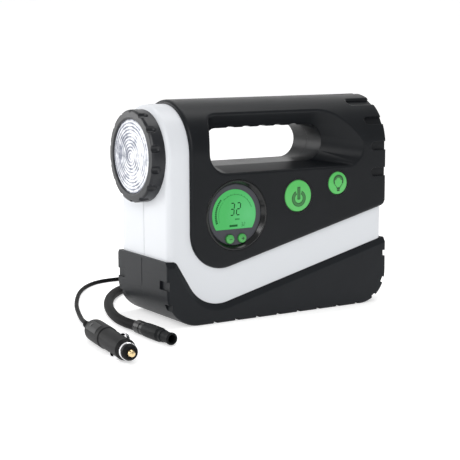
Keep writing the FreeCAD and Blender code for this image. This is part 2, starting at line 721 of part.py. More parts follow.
BACKLASH = 0.16
gear_wheel = shaped("gear_wheel", gear_shape(GEAR_TEETH, GEAR_WIDE, 0, BACKLASH, -math.pi / 2),
                    (GEAR_X, 0, CRANK_Z))
gear_pockets = []
for number in range(5):
    angle = math.radians(18 + 72 * number)
    gear_pockets.append(cylinder("gear_pocket_%d" % number, 4.2, 20.0,
                                 (GEAR_X - 5, 14.5 * math.cos(angle), CRANK_Z + 14.5 * math.sin(angle)), ALONG_X))
hub = cylinder("gear_hub", 4.0, 16.0, (GEAR_X + GEAR_WIDE, 0, CRANK_Z), ALONG_X)
pin_seat = cylinder("pin_seat", 2.5, 20.0, (GEAR_X - 5, 0, CRANK_Z - THROW), ALONG_X)
keep("crank_gear", cut("crank_gear", group("gear_and_hub", gear_wheel, hub), pin_seat, *gear_pockets))
keep("crank_pin", group("crank_pin",
                        cylinder("crank_pin_shank", 2.5, 15.0, (-9.0, 0, CRANK_Z - THROW), ALONG_X),
                        cylinder("crank_pin_head", 4.0, 1.2, (-10.2, 0, CRANK_Z - THROW), ALONG_X)))
keep("pinion", shaped("pinion", gear_shape(PINION_TEETH, GEAR_WIDE + 2, 1.6, BACKLASH,
                                           math.pi / 2 + math.pi / PINION_TEETH), (GEAR_X - 1, 0, MOTOR_Z)))
ROD_X = -7.0
ROD_WIDE = 8.0
SMALL_END_Z = CRANK_Z - THROW + size("rod_length")
rod_big = cylinder("rod_big", 6.0, ROD_WIDE, (ROD_X, 0, CRANK_Z - THROW), ALONG_X)
rod_small = cylinder("rod_small", 4.0, ROD_WIDE, (ROD_X, 0, SMALL_END_Z), ALONG_X)
rod_bar = block("rod_bar", ROD_WIDE - 3, 5.0, "Sizes.rod_length", (ROD_X + 1.5, -2.5, CRANK_Z - THROW))
rod_bore = cylinder("rod_bore", 2.56, ROD_WIDE + 4, (ROD_X - 2, 0, CRANK_Z - THROW), ALONG_X)
rod_eye = cylinder("rod_eye", 1.5, ROD_WIDE + 4, (ROD_X - 2, 0, SMALL_END_Z), ALONG_X)
keep("connecting_rod", cut("connecting_rod", group("rod_body", rod_big, rod_small, rod_bar), rod_bore, rod_eye))

# The piston is a cup over the rod's small end, with room for the rod to swing under it.
BORE_R = size("bore_r")
CROWN_Z = SMALL_END_Z + 4 + 2 * THROW + 1.5
SHELF_Z = 87.6
CYLINDER_Z = SHELF_Z + 3.0


def turned_z(label, points, x, y):
    """A piece turned about a vertical line at x, y, from (radius, z) corners."""
    return turn_about(label, points, (x, y, 0), FACE_XZ, Z_AXIS)


keep("piston", turned_z("piston", [
    (0, CROWN_Z + 3.0, 0), (BORE_R - 0.05, CROWN_Z + 3.0, 0), (BORE_R - 0.05, CROWN_Z + 1.8, 0),
    (BORE_R - 1.2, CROWN_Z + 1.8, 0), (BORE_R - 1.2, CROWN_Z + 0.2, 0), (BORE_R - 0.05, CROWN_Z + 0.2, 0),
    (BORE_R - 0.05, CYLINDER_Z + 1.0, 0), (BORE_R - 1.6, CYLINDER_Z + 1.0, 0), (BORE_R - 1.6, CROWN_Z, 0),
    (0, CROWN_Z, 0)], CYLINDER_X, 0))
keep("piston_seal", turned_z("piston_seal", [
    (BORE_R - 1.2, CROWN_Z + 0.2, 0), (BORE_R - 0.05, CROWN_Z + 0.2, 0),
    (BORE_R - 0.05, CROWN_Z + 1.8, 0), (BORE_R - 1.2, CROWN_Z + 1.8, 0)], CYLINDER_X, 0))
CYLINDER_TOP = CROWN_Z + 3.0 + 2 * THROW + 1.0
cylinder_walls = [(BORE_R, CYLINDER_Z, 0), (BORE_R, CYLINDER_TOP, 0), (BORE_R + 5.5, CYLINDER_TOP, 0)]
fin_z = CYLINDER_TOP - 1.6
while fin_z > CYLINDER_Z + 8:
    cylinder_walls += [(BORE_R + 5.5, fin_z, 0), (BORE_R + 2.2, fin_z, 0), (BORE_R + 2.2, fin_z - 2.4, 0),
                       (BORE_R + 5.5, fin_z - 2.4, 0)]
    fin_z -= 4.0
cylinder_walls += [(BORE_R + 5.5, fin_z, 0), (BORE_R + 2.2, fin_z, 0), (BORE_R + 2.2, CYLINDER_Z, 0)]
keep("cylinder", turned_z("cylinder", cylinder_walls, CYLINDER_X, 0))
HEAD_Z = CYLINDER_TOP
head_plate = block("head_plate", 36.0, 36.0, 6.0, (CYLINDER_X - 18, -18, HEAD_Z + 0.6))
PORT_R = 3.0
PORT_END = 26.0
head_port = cylinder("head_port", PORT_R, PORT_END - 10.0, (CYLINDER_X, 10.0, HEAD_Z + 3.6), ALONG_Y)
head_bore = cylinder("head_bore", 1.8, 30.0, (CYLINDER_X, 2.0, HEAD_Z + 3.6), ALONG_Y)
head_well = cylinder("head_well", 1.8, 4.0, (CYLINDER_X, 2.0, HEAD_Z), UPRIGHT)
head_spots = [(CYLINDER_X + sx * 14.5, sy * 14.5) for sx in (-1, 1) for sy in (-1, 1)]
head_holes = [cylinder("head_hole_%d" % n, 1.6, 20.0, (x, y, HEAD_Z - 6)) for n, (x, y) in enumerate(head_spots)]
keep("cylinder_head", cut("cylinder_head", group("head_body", head_plate, head_port), head_bore, head_well,
                          *head_holes))
keep("reed_valve", cylinder("reed_valve", BORE_R + 1.0, 0.6, (CYLINDER_X, 0, HEAD_Z)))
head_screws = []
for number, (x, y) in enumerate(head_spots):
    cap = cylinder("head_screw_cap_%d" % number, 2.8, 1.8, (x, y, HEAD_Z + 6.6))
    stem = cylinder("head_screw_stem_%d" % number, 1.55, 6.0, (x, y, HEAD_Z + 0.6))
    head_screws.append(group("head_screw_%d" % number, cap, stem))
keep("head_screws", group("head_screws", *head_screws))

# Gearbox frame: a plate between motor and gear, a shelf under the cylinder and a base on rubber mounts.
FLOOR_Z = SKIN + WALL
BASE_Z = FLOOR_Z + 2.0
plate = block("frame_plate", 4.0, 48.0, SHELF_Z + 3 - BASE_Z, (MOTOR_X - 4, -24, BASE_Z))
shelf = block("frame_shelf", 42.0, 40.0, 3.0, (MOTOR_X - 42, -20, SHELF_Z))
base_plate = block("frame_base", 100.0, 48.0, 2.5, (-20, -24, BASE_Z))
boss = cylinder("frame_boss", 9.0, 9.0, (MOTOR_X, 0, CRANK_Z), ALONG_X)
frame_whole = group("frame_whole", plate, shelf, base_plate, boss)
frame_cuts = [
    cylinder("bearing_seat", 7.0, 20.0, (MOTOR_X - 6, 0, CRANK_Z), ALONG_X),
    cylinder("rod_passage", "Sizes.bore_r - 0.5", 20.0, (CYLINDER_X, 0, SHELF_Z - 5)),
    cylinder("motor_nose_hole", 5.0, 20.0, (MOTOR_X - 10, 0, MOTOR_Z), ALONG_X),
]
motor_screw_spots = [(side * 12.5, MOTOR_Z) for side in (-1, 1)]
for number, (y, z) in enumerate(motor_screw_spots):
    frame_cuts.append(cylinder("motor_screw_hole_%d" % number, 1.6, 20.0, (MOTOR_X - 10, y, z), ALONG_X))
keep("gearbox_frame", cut("gearbox_frame", frame_whole, *frame_cuts))
bearing_ring = cylinder("bearing_ring", 7.0, 9.0, (MOTOR_X - 1, 0, CRANK_Z), ALONG_X)
bearing_bore = cylinder("bearing_bore", 4.05, 20.0, (MOTOR_X - 6, 0, CRANK_Z), ALONG_X)
keep("crank_bearing", cut("crank_bearing", bearing_ring, bearing_bore))
mounts = []
for number, (x, y) in enumerate([(-14, -18), (-14, 18), (74, -18), (74, 18)]):
    mounts.append(cylinder("mount_%d" % number, 5.0, 2.0, (x, y, FLOOR_Z)))
keep("rubber_mounts", group("rubber_mounts", *mounts))
can_outer = cylinder("can_outer", "Sizes.motor_r", 52.0, (MOTOR_X, 0, MOTOR_Z), ALONG_X)
can_inner = cylinder("can_inner", "Sizes.motor_r - 1.6", 50.0, (MOTOR_X + 2, 0, MOTOR_Z), ALONG_X)
can_bore = cylinder("can_bore", 4.5, 10.0, (MOTOR_X - 2, 0, MOTOR_Z), ALONG_X)
can_taps = [cylinder("can_tap_%d" % n, 1.3, 10.0, (MOTOR_X - 2, y, z), ALONG_X)
            for n, (y, z) in enumerate(motor_screw_spots)]
keep("motor_can", cut("motor_can", can_outer, can_inner, can_bore, *can_taps))
cap_disc = cylinder("cap_disc", "Sizes.motor_r", 6.0, (MOTOR_X + 52, 0, MOTOR_Z), ALONG_X)
cap_bore = cylinder("cap_bore", 1.66, 10.0, (MOTOR_X + 50, 0, MOTOR_Z), ALONG_X)
terminals = [block("terminal_%d" % n, 6.0, 5.0, 0.8, (MOTOR_X + 58, y - 2.5, MOTOR_Z + 13))
             for n, y in enumerate((-8.0, 8.0))]
keep("motor_end_cap", cut("motor_end_cap", group("cap_body", cap_disc, *terminals), cap_bore))
shaft = cylinder("shaft", 1.6, 98.0, (GEAR_X - 1, 0, MOTOR_Z), ALONG_X)
armature = cylinder("armature", 15.5, 34.0, (MOTOR_X + 8, 0, MOTOR_Z), ALONG_X)
commutator = cylinder("commutator", 6.0, 7.0, (MOTOR_X + 44, 0, MOTOR_Z), ALONG_X)
keep("motor_rotor", group("motor_rotor", shaft, armature, commutator))
motor_screws = []
for number, (y, z) in enumerate(motor_screw_spots):
    cap = cylinder("motor_screw_cap_%d" % number, 2.6, 1.6, (MOTOR_X - 5.6, y, z), ALONG_X)
    stem = cylinder("motor_screw_stem_%d" % number, 1.25, 6.0, (MOTOR_X - 4, y, z), ALONG_X)
    motor_screws.append(group("motor_screw_%d" % number, cap, stem))
keep("motor_screws", group("motor_screws", *motor_screws))
FAN_X = MOTOR_X + 66.0
fan_hub = cylinder("fan_hub", 5.0, 9.0, (FAN_X, 0, MOTOR_Z), ALONG_X)
blades = []
for number in range(7):
    blade = block("blade_%d" % number, 8.0, 1.2, 12.0, (FAN_X + 0.5, 0, 4.0))
    tilt = Rotation(X_AXIS, 360.0 / 7 * number).multiply(Rotation(Z_AXIS, 28))
    blade.Placement = FreeCAD.Placement(Vector(FAN_X + 2, 0, MOTOR_Z), tilt).multiply(
        FreeCAD.Placement(Vector(0, -0.6, 4.0), UPRIGHT))
    blades.append(blade)
fan_bore = cylinder("fan_bore", 1.6, 20.0, (FAN_X - 5, 0, MOTOR_Z), ALONG_X)
keep("cooling_fan", cut("cooling_fan", group("fan_body", fan_hub, *blades), fan_bore))


# ---------------------------------------------------------------- tubes and cords
def cord_path(points):
    """Straight runs joined by tangent arcs, each arc as large as its two runs allow."""
    spots = [Vector(*point) for point in points]
    edges = []
    radii = []
    last = spots[0]
    for index in range(1, len(spots) - 1):
        back = spots[index - 1] - spots[index]
        ahead = spots[index + 1] - spots[index]
        turn = math.pi - back.getAngle(ahead)
        reach = 0.45 * min(back.Length, ahead.Length)
        radius = reach / math.tan(turn / 2)
        radii.append(radius)
        back.normalize()
        ahead.normalize()
        first = spots[index] + back * reach
        second = spots[index] + ahead * reach
        bisector = (back + ahead).normalize()
        middle = spots[index] + bisector * (radius / math.cos(turn / 2) - radius)
        if last.distanceToPoint(first) > 1e-4:
            edges.append(Part.LineSegment(last, first).toShape())
        edges.append(Part.Arc(first, middle, second).toShape())
        last = second
    edges.append(Part.LineSegment(last, spots[-1]).toShape())
    return Part.Wire(edges), radii


def tube(name, points, radius):
    path, radii = cord_path(points)
    start = Vector(*points[0])
    heading = Vector(*points[1]) - start
    section = Part.Wire([Part.makeCircle(radius, start, heading)])
    shape = path.makePipeShell([section], True, True)
    expected = math.pi * radius ** 2 * path.Length
    print("%s: length %.0f, least radius %.1f, volume ratio %.3f"
          % (name, path.Length, min(radii), shape.Volume / expected))
    return keep(name, shaped(name, shape, (0, 0, 0)))


HOSE_R = size("hose_r")
CORD_R = size("cord_r")
FLOOR_HOSE = HOSE_R
FLOOR_CORD = CORD_R
OUTLET_ROUTE = [(CYLINDER_X, PORT_END, HEAD_Z + 3.6), (CYLINDER_X - 6, 34.0, HEAD_Z + 2.0),
                (-14.0, 37.0, HEAD_Z - 12.0), (-19.0, 38.0, 100.0), (-14.0, 38.0, 74.0), (0.0, 38.0, 50.0),
                (12.0, 37.5, 32.0), (HOSE_EXIT_X, 36.0, HOSE_EXIT_Z + 1.0)]
outlet_run = tube("outlet_pipe", OUTLET_ROUTE, PORT_R)
port_side = cylinder("port_side", 3 * PORT_R, PORT_END, (CYLINDER_X, 0, HEAD_Z + 3.6), ALONG_Y)
keep("outlet_pipe", cut("outlet_pipe_end", outlet_run, port_side))


def gland(name, x, z, radius, length):
    """A flanged, tapered grommet through the rear wall."""
    inner = DEPTH - SKIN - WALL
    corners = [(radius, inner - 2.0, 0), (GLAND_HOLE + 1.6, inner - 2.0, 0), (GLAND_HOLE + 1.6, inner, 0),
               (GLAND_HOLE - 1.3, inner, 0), (GLAND_HOLE - 1.3, DEPTH, 0), (GLAND_HOLE + 1.4, DEPTH, 0.6),
               (GLAND_HOLE + 1.0, DEPTH + 2.5, 0.8), (radius + 2.4, DEPTH + 3.5, 0),
               (radius + 1.1, DEPTH + length, 0), (radius, DEPTH + length, 0)]
    return keep(name, round_y(name, corners, x, z))


gland("hose_gland", HOSE_EXIT_X, HOSE_EXIT_Z, HOSE_R, 20.0)
gland("power_gland", CORD_EXIT_X, CORD_EXIT_Z, CORD_R, 20.0)
HOSE_ROUTE = [(HOSE_EXIT_X, 44.0, HOSE_EXIT_Z), (HOSE_EXIT_X, 76.0, HOSE_EXIT_Z), (15.0, 101.0, 12.0),
              (0.0, 121.0, 5.2), (-24.0, 133.0, FLOOR_HOSE), (-52.0, 138.0, FLOOR_HOSE),
              (-80.0, 131.0, FLOOR_HOSE), (-105.0, 108.0, FLOOR_HOSE), (-125.0, 78.0, FLOOR_HOSE),
              (-141.0, 44.0, FLOOR_HOSE), (-152.0, 10.0, FLOOR_HOSE), (-156.8, -16.0, FLOOR_HOSE + 0.8),
              (-157.6, -38.0, FLOOR_HOSE + 1.7)]
HOSE_END = (-156.8, -59.5, 6.6)
tube("air_hose", HOSE_ROUTE + [HOSE_END], HOSE_R)


def along(name, points, start, end):
    """A piece turned about the line from start towards end, from (radius, distance) corners."""
    heading = (Vector(*end) - Vector(*start)).normalize()
    turn = Rotation(Z_AXIS, heading)
    profile = sketch(name + "_profile", points, (0, 0, 0), FACE_XZ)
    raw = fresh("Part::Revolution", name)
    raw.Source = profile
    raw.Axis = Z_AXIS
    raw.Base = Vector(0, 0, 0)
    raw.Angle = 360.0
    raw.Solid = True
    raw.Placement = FreeCAD.Placement(Vector(*start), turn)
    return raw


CONNECTOR_START = HOSE_END
CONNECTOR_AHEAD = (-155.4, -119.5, 6.6)
keep("hose_ferrule", along("hose_ferrule", [
    (HOSE_R, -13.0, 0), (6.1, -13.0, 0.5), (6.1, -4.0, 0.6), (5.6, -3.0, 0), (5.6, -1.0, 0), (6.0, 0.0, 0),
    (6.0, 2.0, 0), (HOSE_R, 2.0, 0)], CONNECTOR_START, CONNECTOR_AHEAD))
keep("connector_stem", along("connector_stem", [
    (1.2, 0.0, 0), (HOSE_R, 0.0, 0), (HOSE_R, 2.0, 0), (5.6, 2.0, 0), (5.6, 5.0, 0), (3.0, 5.0, 0),
    (3.0, 30.0, 0), (1.2, 30.0, 0)], CONNECTOR_START, CONNECTOR_AHEAD))
VALVE_R = 3.85
keep("hose_connector", along("hose_connector", [
    (3.06, 5.2, 0), (5.7, 5.2, 0), (5.7, 2.3, 0), (6.35, 2.3, 0), (6.5, 8.5, 0.8), (6.5, 27.0, 1.0),
    (5.6, 30.0, 0), (5.6, 33.5, 0),
    (5.0, 34.2, 0), (5.0, 44.0, 0), (5.5, 44.6, 0), (5.5, 47.0, 0.6), (VALVE_R, 47.0, 0), (VALVE_R, 33.0, 0),
    (3.06, 33.0, 0)], CONNECTOR_START, CONNECTOR_AHEAD))

# Power cord: a lead from the gland to the coil, the coil, and the run from the coil to the plug.
COIL_X = 62.0
COIL_Y = 128.0
COIL_OUTER = 36.0
COIL_INNER = 22.4
COIL_TALL = 17.4
LEAD_ROUTE = [(CORD_EXIT_X, 44.0, CORD_EXIT_Z), (CORD_EXIT_X, 74.0, CORD_EXIT_Z - 0.5), (95.3, 98.0, 20.5)]
LEAD_END = (95.8, 122.0, 15.6)
tube("power_lead", LEAD_ROUTE + [LEAD_END], CORD_R)
CORD_ROUTE = [(58.0, 161.8, FLOOR_CORD), (32.0, 165.0, FLOOR_CORD), (2.0, 175.0, FLOOR_CORD),
              (-28.0, 187.0, FLOOR_CORD), (-57.0, 193.0, FLOOR_CORD), (-82.0, 190.0, FLOOR_CORD),
              (-104.0, 173.0, FLOOR_CORD), (-124.0, 147.0, FLOOR_CORD), (-143.0, 113.0, FLOOR_CORD),
              (-158.0, 82.0, FLOOR_CORD), (-170.0, 51.0, FLOOR_CORD), (-182.0, 20.0, 4.0), (-193.0, -10.0, 8.0)]
PLUG_START = (-202.0, -42.0, 10.4)
PLUG_AHEAD = (-216.0, -143.0, 10.4)
tube("power_cord", CORD_ROUTE + [PLUG_START], CORD_R)
keep("power_cord_coil", turned_z("power_cord_coil", [
    (COIL_INNER, 0.0, 4.0), (COIL_OUTER, 0.0, 4.0), (COIL_OUTER, COIL_TALL, 5.0), (COIL_INNER, COIL_TALL, 5.0)],
    COIL_X, COIL_Y))
tie_outer = block("tie_outer", COIL_OUTER - COIL_INNER + 2.4, 6.0, COIL_TALL + 1.2,
                  (COIL_X + COIL_INNER - 1.2, COIL_Y - 3, 0.0))
tie_inner = block("tie_inner", COIL_OUTER - COIL_INNER, 8.0, COIL_TALL, (COIL_X + COIL_INNER, COIL_Y - 4, 0.0))
keep("cord_tie", cut("cord_tie", tie_outer, tie_inner))

# ---------------------------------------------------------------- 12 V plug
keep("plug_relief", along("plug_relief", [
    (CORD_R, -14.0, 0), (3.4, -14.0, 0.4), (4.6, 2.0, 0), (4.6, 6.0, 0), (CORD_R, 6.0, 0)], PLUG_START, PLUG_AHEAD))
BODY_R = 9.9
BARREL_R = 9.2
BODY_START = 2.0
GRIP_END = 46.0
BODY_END = 96.0
RING_WIDE = 3.2
plug_body_raw = along("plug_body_raw", [
    (4.6, BODY_START, 0), (5.8, BODY_START, 0.8), (BODY_R, BODY_START + 9, 12.0), (BODY_R, GRIP_END, 0),
    (BARREL_R, GRIP_END + 1.5, 0), (BARREL_R, BODY_END - 5, 0), (7.2, BODY_END, 0), (0, BODY_END, 0),
    (0, 6.0, 0), (4.6, 6.0, 0)], PLUG_START, PLUG_AHEAD)
keep("plug_ring", along("plug_ring", [
    (3.4, BODY_END, 0), (7.2, BODY_END, 0), (7.6, BODY_END + 0.6, 0.4), (7.6, BODY_END + 2.6, 0.4),
    (7.2, BODY_END + RING_WIDE, 0), (3.4, BODY_END + RING_WIDE, 0)], PLUG_START, PLUG_AHEAD))
NOSE_START = BODY_END + RING_WIDE
NOSE_END = NOSE_START + 6.0
keep("plug_nose", along("plug_nose", [
    (3.4, NOSE_START, 0), (7.0, NOSE_START, 0), (7.0, NOSE_END - 3.0, 1.5), (5.4, NOSE_END, 0.8),
    (3.4, NOSE_END, 0)], PLUG_START, PLUG_AHEAD))
plug_heading = (Vector(*PLUG_AHEAD) - Vector(*PLUG_START)).normalize()
PLUG_ROLL = math.radians(57.0)                   # the side contacts' line, up from level
level_across = Vector(-plug_heading.y, plug_heading.x, 0)
contact_line = level_across * math.cos(PLUG_ROLL) + Z_AXIS * math.sin(PLUG_ROLL)
plug_turn = Rotation(contact_line, plug_heading.cross(contact_line), plug_heading, "ZXY")


def on_plug(obj, x, y, distance):
    """Moves a piece drawn about the origin, its length along Z, onto the plug."""
    base = FreeCAD.Placement(Vector(*PLUG_START), plug_turn)
    obj.Placement = base.multiply(FreeCAD.Placement(Vector(x, y, distance), UPRIGHT))
    return obj


CONTACT_LONG = 20.0
CONTACT_START = 66.0
POCKET_FLOOR = 5.6
contact_pockets = []
for side in (-1, 1):
    low = POCKET_FLOOR if side > 0 else -POCKET_FLOOR - 6.0
    pocket = block("contact_pocket_%d" % side, 6.0, 4.6, CONTACT_LONG + 1.0, (0, 0, 0))
    contact_pockets.append(on_plug(pocket, low, -2.3, CONTACT_START - 0.5))
tip_well = along("tip_well", [(0, BODY_END - 12, 0), (3.4, BODY_END - 12, 0), (3.4, BODY_END + 1, 0),
                              (0, BODY_END + 1, 0)], PLUG_START, PLUG_AHEAD)
keep("plug_body", cut("plug_body", plug_body_raw, tip_well, *contact_pockets))
CONTACT_BASE = 7.4
for side, name in ((-1, "left_contact"), (1, "right_contact")):
    leaf = sketch(name + "_leaf", [(0.0, 0.0, 0), (1.1, 0.0, 0), (5.4, CONTACT_LONG / 2, 12.0),
                                   (1.1, CONTACT_LONG, 0), (0.0, CONTACT_LONG, 0), (4.3, CONTACT_LONG / 2, 11.0)],
                  (0, 0, 0), FACE_XZ)
    strip = extrude(name + "_strip", leaf, Y_AXIS, 3.4)
    base = FreeCAD.Placement(Vector(*PLUG_START), plug_turn)
    spin = Rotation(Z_AXIS, 0 if side > 0 else 180)
    strip.Placement = base.multiply(FreeCAD.Placement(Vector(side * CONTACT_BASE, -1.7 * side, CONTACT_START), spin))
    keep(name, strip)
keep("plug_tip", along("plug_tip", [
    (0, NOSE_END - 13, 0), (3.3, NOSE_END - 13, 0), (3.3, NOSE_END + 0.8, 0.6), (2.3, NOSE_END + 3.6, 1.0),
    (0, NOSE_END + 4.0, 0)], PLUG_START, PLUG_AHEAD))
keep("plug_fuse", along("plug_fuse", [
    (0, BODY_END - 12, 0), (2.6, BODY_END - 12, 0), (2.6, BODY_END - 9.5, 0), (0, BODY_END - 9.5, 0)],
    PLUG_START, PLUG_AHEAD))

# ---------------------------------------------------------------- checks, then one file for each piece
doc.recompute()
for obj in doc.Objects:
    if "Invalid" in obj.State or "Error" in obj.State:
        raise RuntimeError("%s did not build: %s" % (obj.Label, obj.State))
unsound = [name for name, obj in kept.items()
           if obj.Shape.isNull() or not obj.Shape.isValid() or not obj.Shape.Solids]
if unsound:
    raise RuntimeError("no valid solid: " + ", ".join(unsound))
os.makedirs("parts", exist_ok=True)
for name, obj in kept.items():
    obj.Shape.exportStep("parts/%s.step" % name)
print("%d pieces" % len(kept))
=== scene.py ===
import math

import bmesh
import bpy
from mathutils import Matrix, Vector


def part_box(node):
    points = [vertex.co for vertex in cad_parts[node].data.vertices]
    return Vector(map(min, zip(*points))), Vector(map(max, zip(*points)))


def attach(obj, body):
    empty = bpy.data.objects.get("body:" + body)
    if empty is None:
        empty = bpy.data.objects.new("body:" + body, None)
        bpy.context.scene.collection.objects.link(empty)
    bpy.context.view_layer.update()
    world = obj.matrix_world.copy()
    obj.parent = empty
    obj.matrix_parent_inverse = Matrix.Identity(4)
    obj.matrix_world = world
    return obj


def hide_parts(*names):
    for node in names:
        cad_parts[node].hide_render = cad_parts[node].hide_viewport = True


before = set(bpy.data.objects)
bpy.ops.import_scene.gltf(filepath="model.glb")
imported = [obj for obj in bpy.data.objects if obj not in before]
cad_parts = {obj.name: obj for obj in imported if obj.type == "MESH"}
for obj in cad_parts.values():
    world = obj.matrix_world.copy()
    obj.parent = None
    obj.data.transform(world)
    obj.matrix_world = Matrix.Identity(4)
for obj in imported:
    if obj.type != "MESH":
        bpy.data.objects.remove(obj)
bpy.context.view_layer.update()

MM = 0.001
HOME = "inflator"


def mid(node):
    """The middle of a CAD node's box."""
    low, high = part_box(node)
    return (Vector(low) + Vector(high)) / 2


def metres(points):
    return [Vector(point) * MM for point in points]


# ---------------------------------------------------------------- shader groups
def group_tree(name, inputs, outputs):
    """An empty shader group with named number, colour or vector sockets."""
    kinds = {"value": "NodeSocketFloat", "colour": "NodeSocketColor", "vector": "NodeSocketVector"}
    tree = bpy.data.node_groups.new(name, "ShaderNodeTree")
    for label, kind, default in inputs:
        socket = tree.interface.new_socket(name=label, in_out="INPUT", socket_type=kinds[kind])
        if default is not None:
            socket.default_value = default
    for label, kind in outputs:
        tree.interface.new_socket(name=label, in_out="OUTPUT", socket_type=kinds[kind])
    start = tree.nodes.new("NodeGroupInput")
    end = tree.nodes.new("NodeGroupOutput")
    return tree, start, end


def node(tree, kind, values=(), **settings):
    made = tree.nodes.new(kind)
    for name, value in settings.items():
        setattr(made, name, value)
    for name, value in dict(values).items():
        made.inputs[name].default_value = value
    return made


def math_node(tree, operation, first, second=None, clamp=False):
    made = node(tree, "ShaderNodeMath", operation=operation, use_clamp=clamp)
    for slot_number, value in enumerate((first, second)):
        if value is None:
            continue
        if isinstance(value, (int, float)):
            made.inputs[slot_number].default_value = value
        else:
            tree.links.new(value, made.inputs[slot_number])
    return made.outputs[0]


def mixed(tree, factor, first, second):
    """A colour mix; each colour is a socket or four numbers."""
    made = node(tree, "ShaderNodeMix", data_type="RGBA")
    for socket, value in ((made.inputs[0], factor), (made.inputs[6], first), (made.inputs[7], second)):
        if isinstance(value, (int, float, tuple, list)):
            socket.default_value = value
        else:
            tree.links.new(value, socket)
    return made.outputs[2]


def make_moulding_group():
    """Spark-eroded mould texture: a fine pebble height, a slow mottling and a scuff mask."""
    tree, start, end = group_tree("moulding", [("Scale", "value", 1400.0), ("Mottle Scale", "value", 25.0)],
                                  [("Height", "value"), ("Mottle", "value"), ("Scuff", "value")])
    spot = node(tree, "ShaderNodeTexCoord").outputs["Object"]
    pebble = node(tree, "ShaderNodeTexVoronoi", {"Randomness": 0.9}, feature="SMOOTH_F1")
    grain = node(tree, "ShaderNodeTexNoise", {"Detail": 2.0, "Roughness": 0.6})
    for piece in (pebble, grain):
        tree.links.new(spot, piece.inputs["Vector"])
        tree.links.new(start.outputs["Scale"], piece.inputs["Scale"])
    height = math_node(tree, "ADD", math_node(tree, "MULTIPLY", pebble.outputs["Distance"], 0.6),
                       math_node(tree, "MULTIPLY", grain.outputs["Fac"], 0.4))
    mottle = node(tree, "ShaderNodeTexNoise", {"Detail": 4.0, "Roughness": 0.55})
    tree.links.new(spot, mottle.inputs["Vector"])
    tree.links.new(start.outputs["Mottle Scale"], mottle.inputs["Scale"])
    stretch = node(tree, "ShaderNodeMapping", {"Scale": (30.0, 30.0, 260.0), "Rotation": (0.3, 0.5, 0.2)})
    tree.links.new(spot, stretch.inputs["Vector"])
    scuff = node(tree, "ShaderNodeTexNoise", {"Scale": 1.0, "Detail": 3.0, "Roughness": 0.7})
    tree.links.new(stretch.outputs["Vector"], scuff.inputs["Vector"])
    tree.links.new(height, end.inputs["Height"])
    tree.links.new(mottle.outputs["Fac"], end.inputs["Mottle"])
    tree.links.new(math_node(tree, "MULTIPLY", math_node(tree, "SUBTRACT", scuff.outputs["Fac"], 0.56), 4.0,
                             clamp=True), end.inputs["Scuff"])
    return tree


def make_edge_highlight_group():
    """A mask of convex edges, where the base colour is painted paler as a highlight."""
    tree, start, end = group_tree("painted_edge_highlight", [("Radius", "value", 0.0012)],
                                  [("Highlight", "value"), ("Soft Normal", "vector")])
    soft = node(tree, "ShaderNodeBevel", samples=4)
    tree.links.new(start.outputs["Radius"], soft.inputs["Radius"])
    sharp = node(tree, "ShaderNodeNewGeometry")
    across = node(tree, "ShaderNodeVectorMath", operation="DOT_PRODUCT")
    tree.links.new(soft.outputs["Normal"], across.inputs[0])
    tree.links.new(sharp.outputs["Normal"], across.inputs[1])
    away = math_node(tree, "SUBTRACT", 1.0, across.outputs["Value"])
    tree.links.new(math_node(tree, "MULTIPLY", away, 5.0, clamp=True), end.inputs["Highlight"])
    tree.links.new(soft.outputs["Normal"], end.inputs["Soft Normal"])
    return tree


MOULDING = make_moulding_group()
EDGE_HIGHLIGHT = make_edge_highlight_group()


# ---------------------------------------------------------------- materials
def blank_material(name, colour, rough, metallic=0.0, coat=0.0, specular=0.5):
    material = bpy.data.materials.new(name)
    material.use_nodes = True
    shader = material.node_tree.nodes["Principled BSDF"]
    shader.inputs["Base Color"].default_value = (*colour, 1.0)
    shader.inputs["Roughness"].default_value = rough
    shader.inputs["Metallic"].default_value = metallic
    shader.inputs["Coat Weight"].default_value = coat
    shader.inputs["Specular IOR Level"].default_value = specular
    return material, material.node_tree, shader


def moulded(name, colour, rough, scale=1400.0, depth=0.00002, mottle=0.06, highlight=0.25, edge=0.0010,
            coat=0.0, specular=0.5):
    """Moulded plastic or rubber: pebble bump, slow mottling, edges painted paler as a highlight, and light
    scuffs.
    """
    material, tree, shader = blank_material(name, colour, rough, coat=coat, specular=specular)
    surface = node(tree, "ShaderNodeGroup", node_tree=MOULDING)
    surface.inputs["Scale"].default_value = scale
    edges = node(tree, "ShaderNodeGroup", node_tree=EDGE_HIGHLIGHT)
    edges.inputs["Radius"].default_value = edge
    lighter = tuple(min(1.0, part * (1 + mottle) + 0.004) for part in colour) + (1.0,)
    darker = tuple(part * (1 - mottle) for part in colour) + (1.0,)
    # The paler colour on convex edges is a painted highlight.
    highlight_colour = tuple(min(1.0, part * 1.5 + 0.02) for part in colour) + (1.0,)
    body = mixed(tree, surface.outputs["Mottle"], darker, lighter)
    highlit_edges = math_node(tree, "MULTIPLY", edges.outputs["Highlight"], highlight)
    tree.links.new(mixed(tree, highlit_edges, body, highlight_colour), shader.inputs["Base Color"])
    gloss = math_node(tree, "ADD", rough - 0.04, math_node(tree, "MULTIPLY", surface.outputs["Mottle"], 0.08))
    scuffed = math_node(tree, "ADD", gloss, math_node(tree, "MULTIPLY", surface.outputs["Scuff"], 0.07))
    tree.links.new(scuffed, shader.inputs["Roughness"])
    bump = node(tree, "ShaderNodeBump", {"Strength": 0.55, "Distance": depth})
    tree.links.new(surface.outputs["Height"], bump.inputs["Height"])
    tree.links.new(edges.outputs["Soft Normal"], bump.inputs["Normal"])
    tree.links.new(bump.outputs["Normal"], shader.inputs["Normal"])
    return material


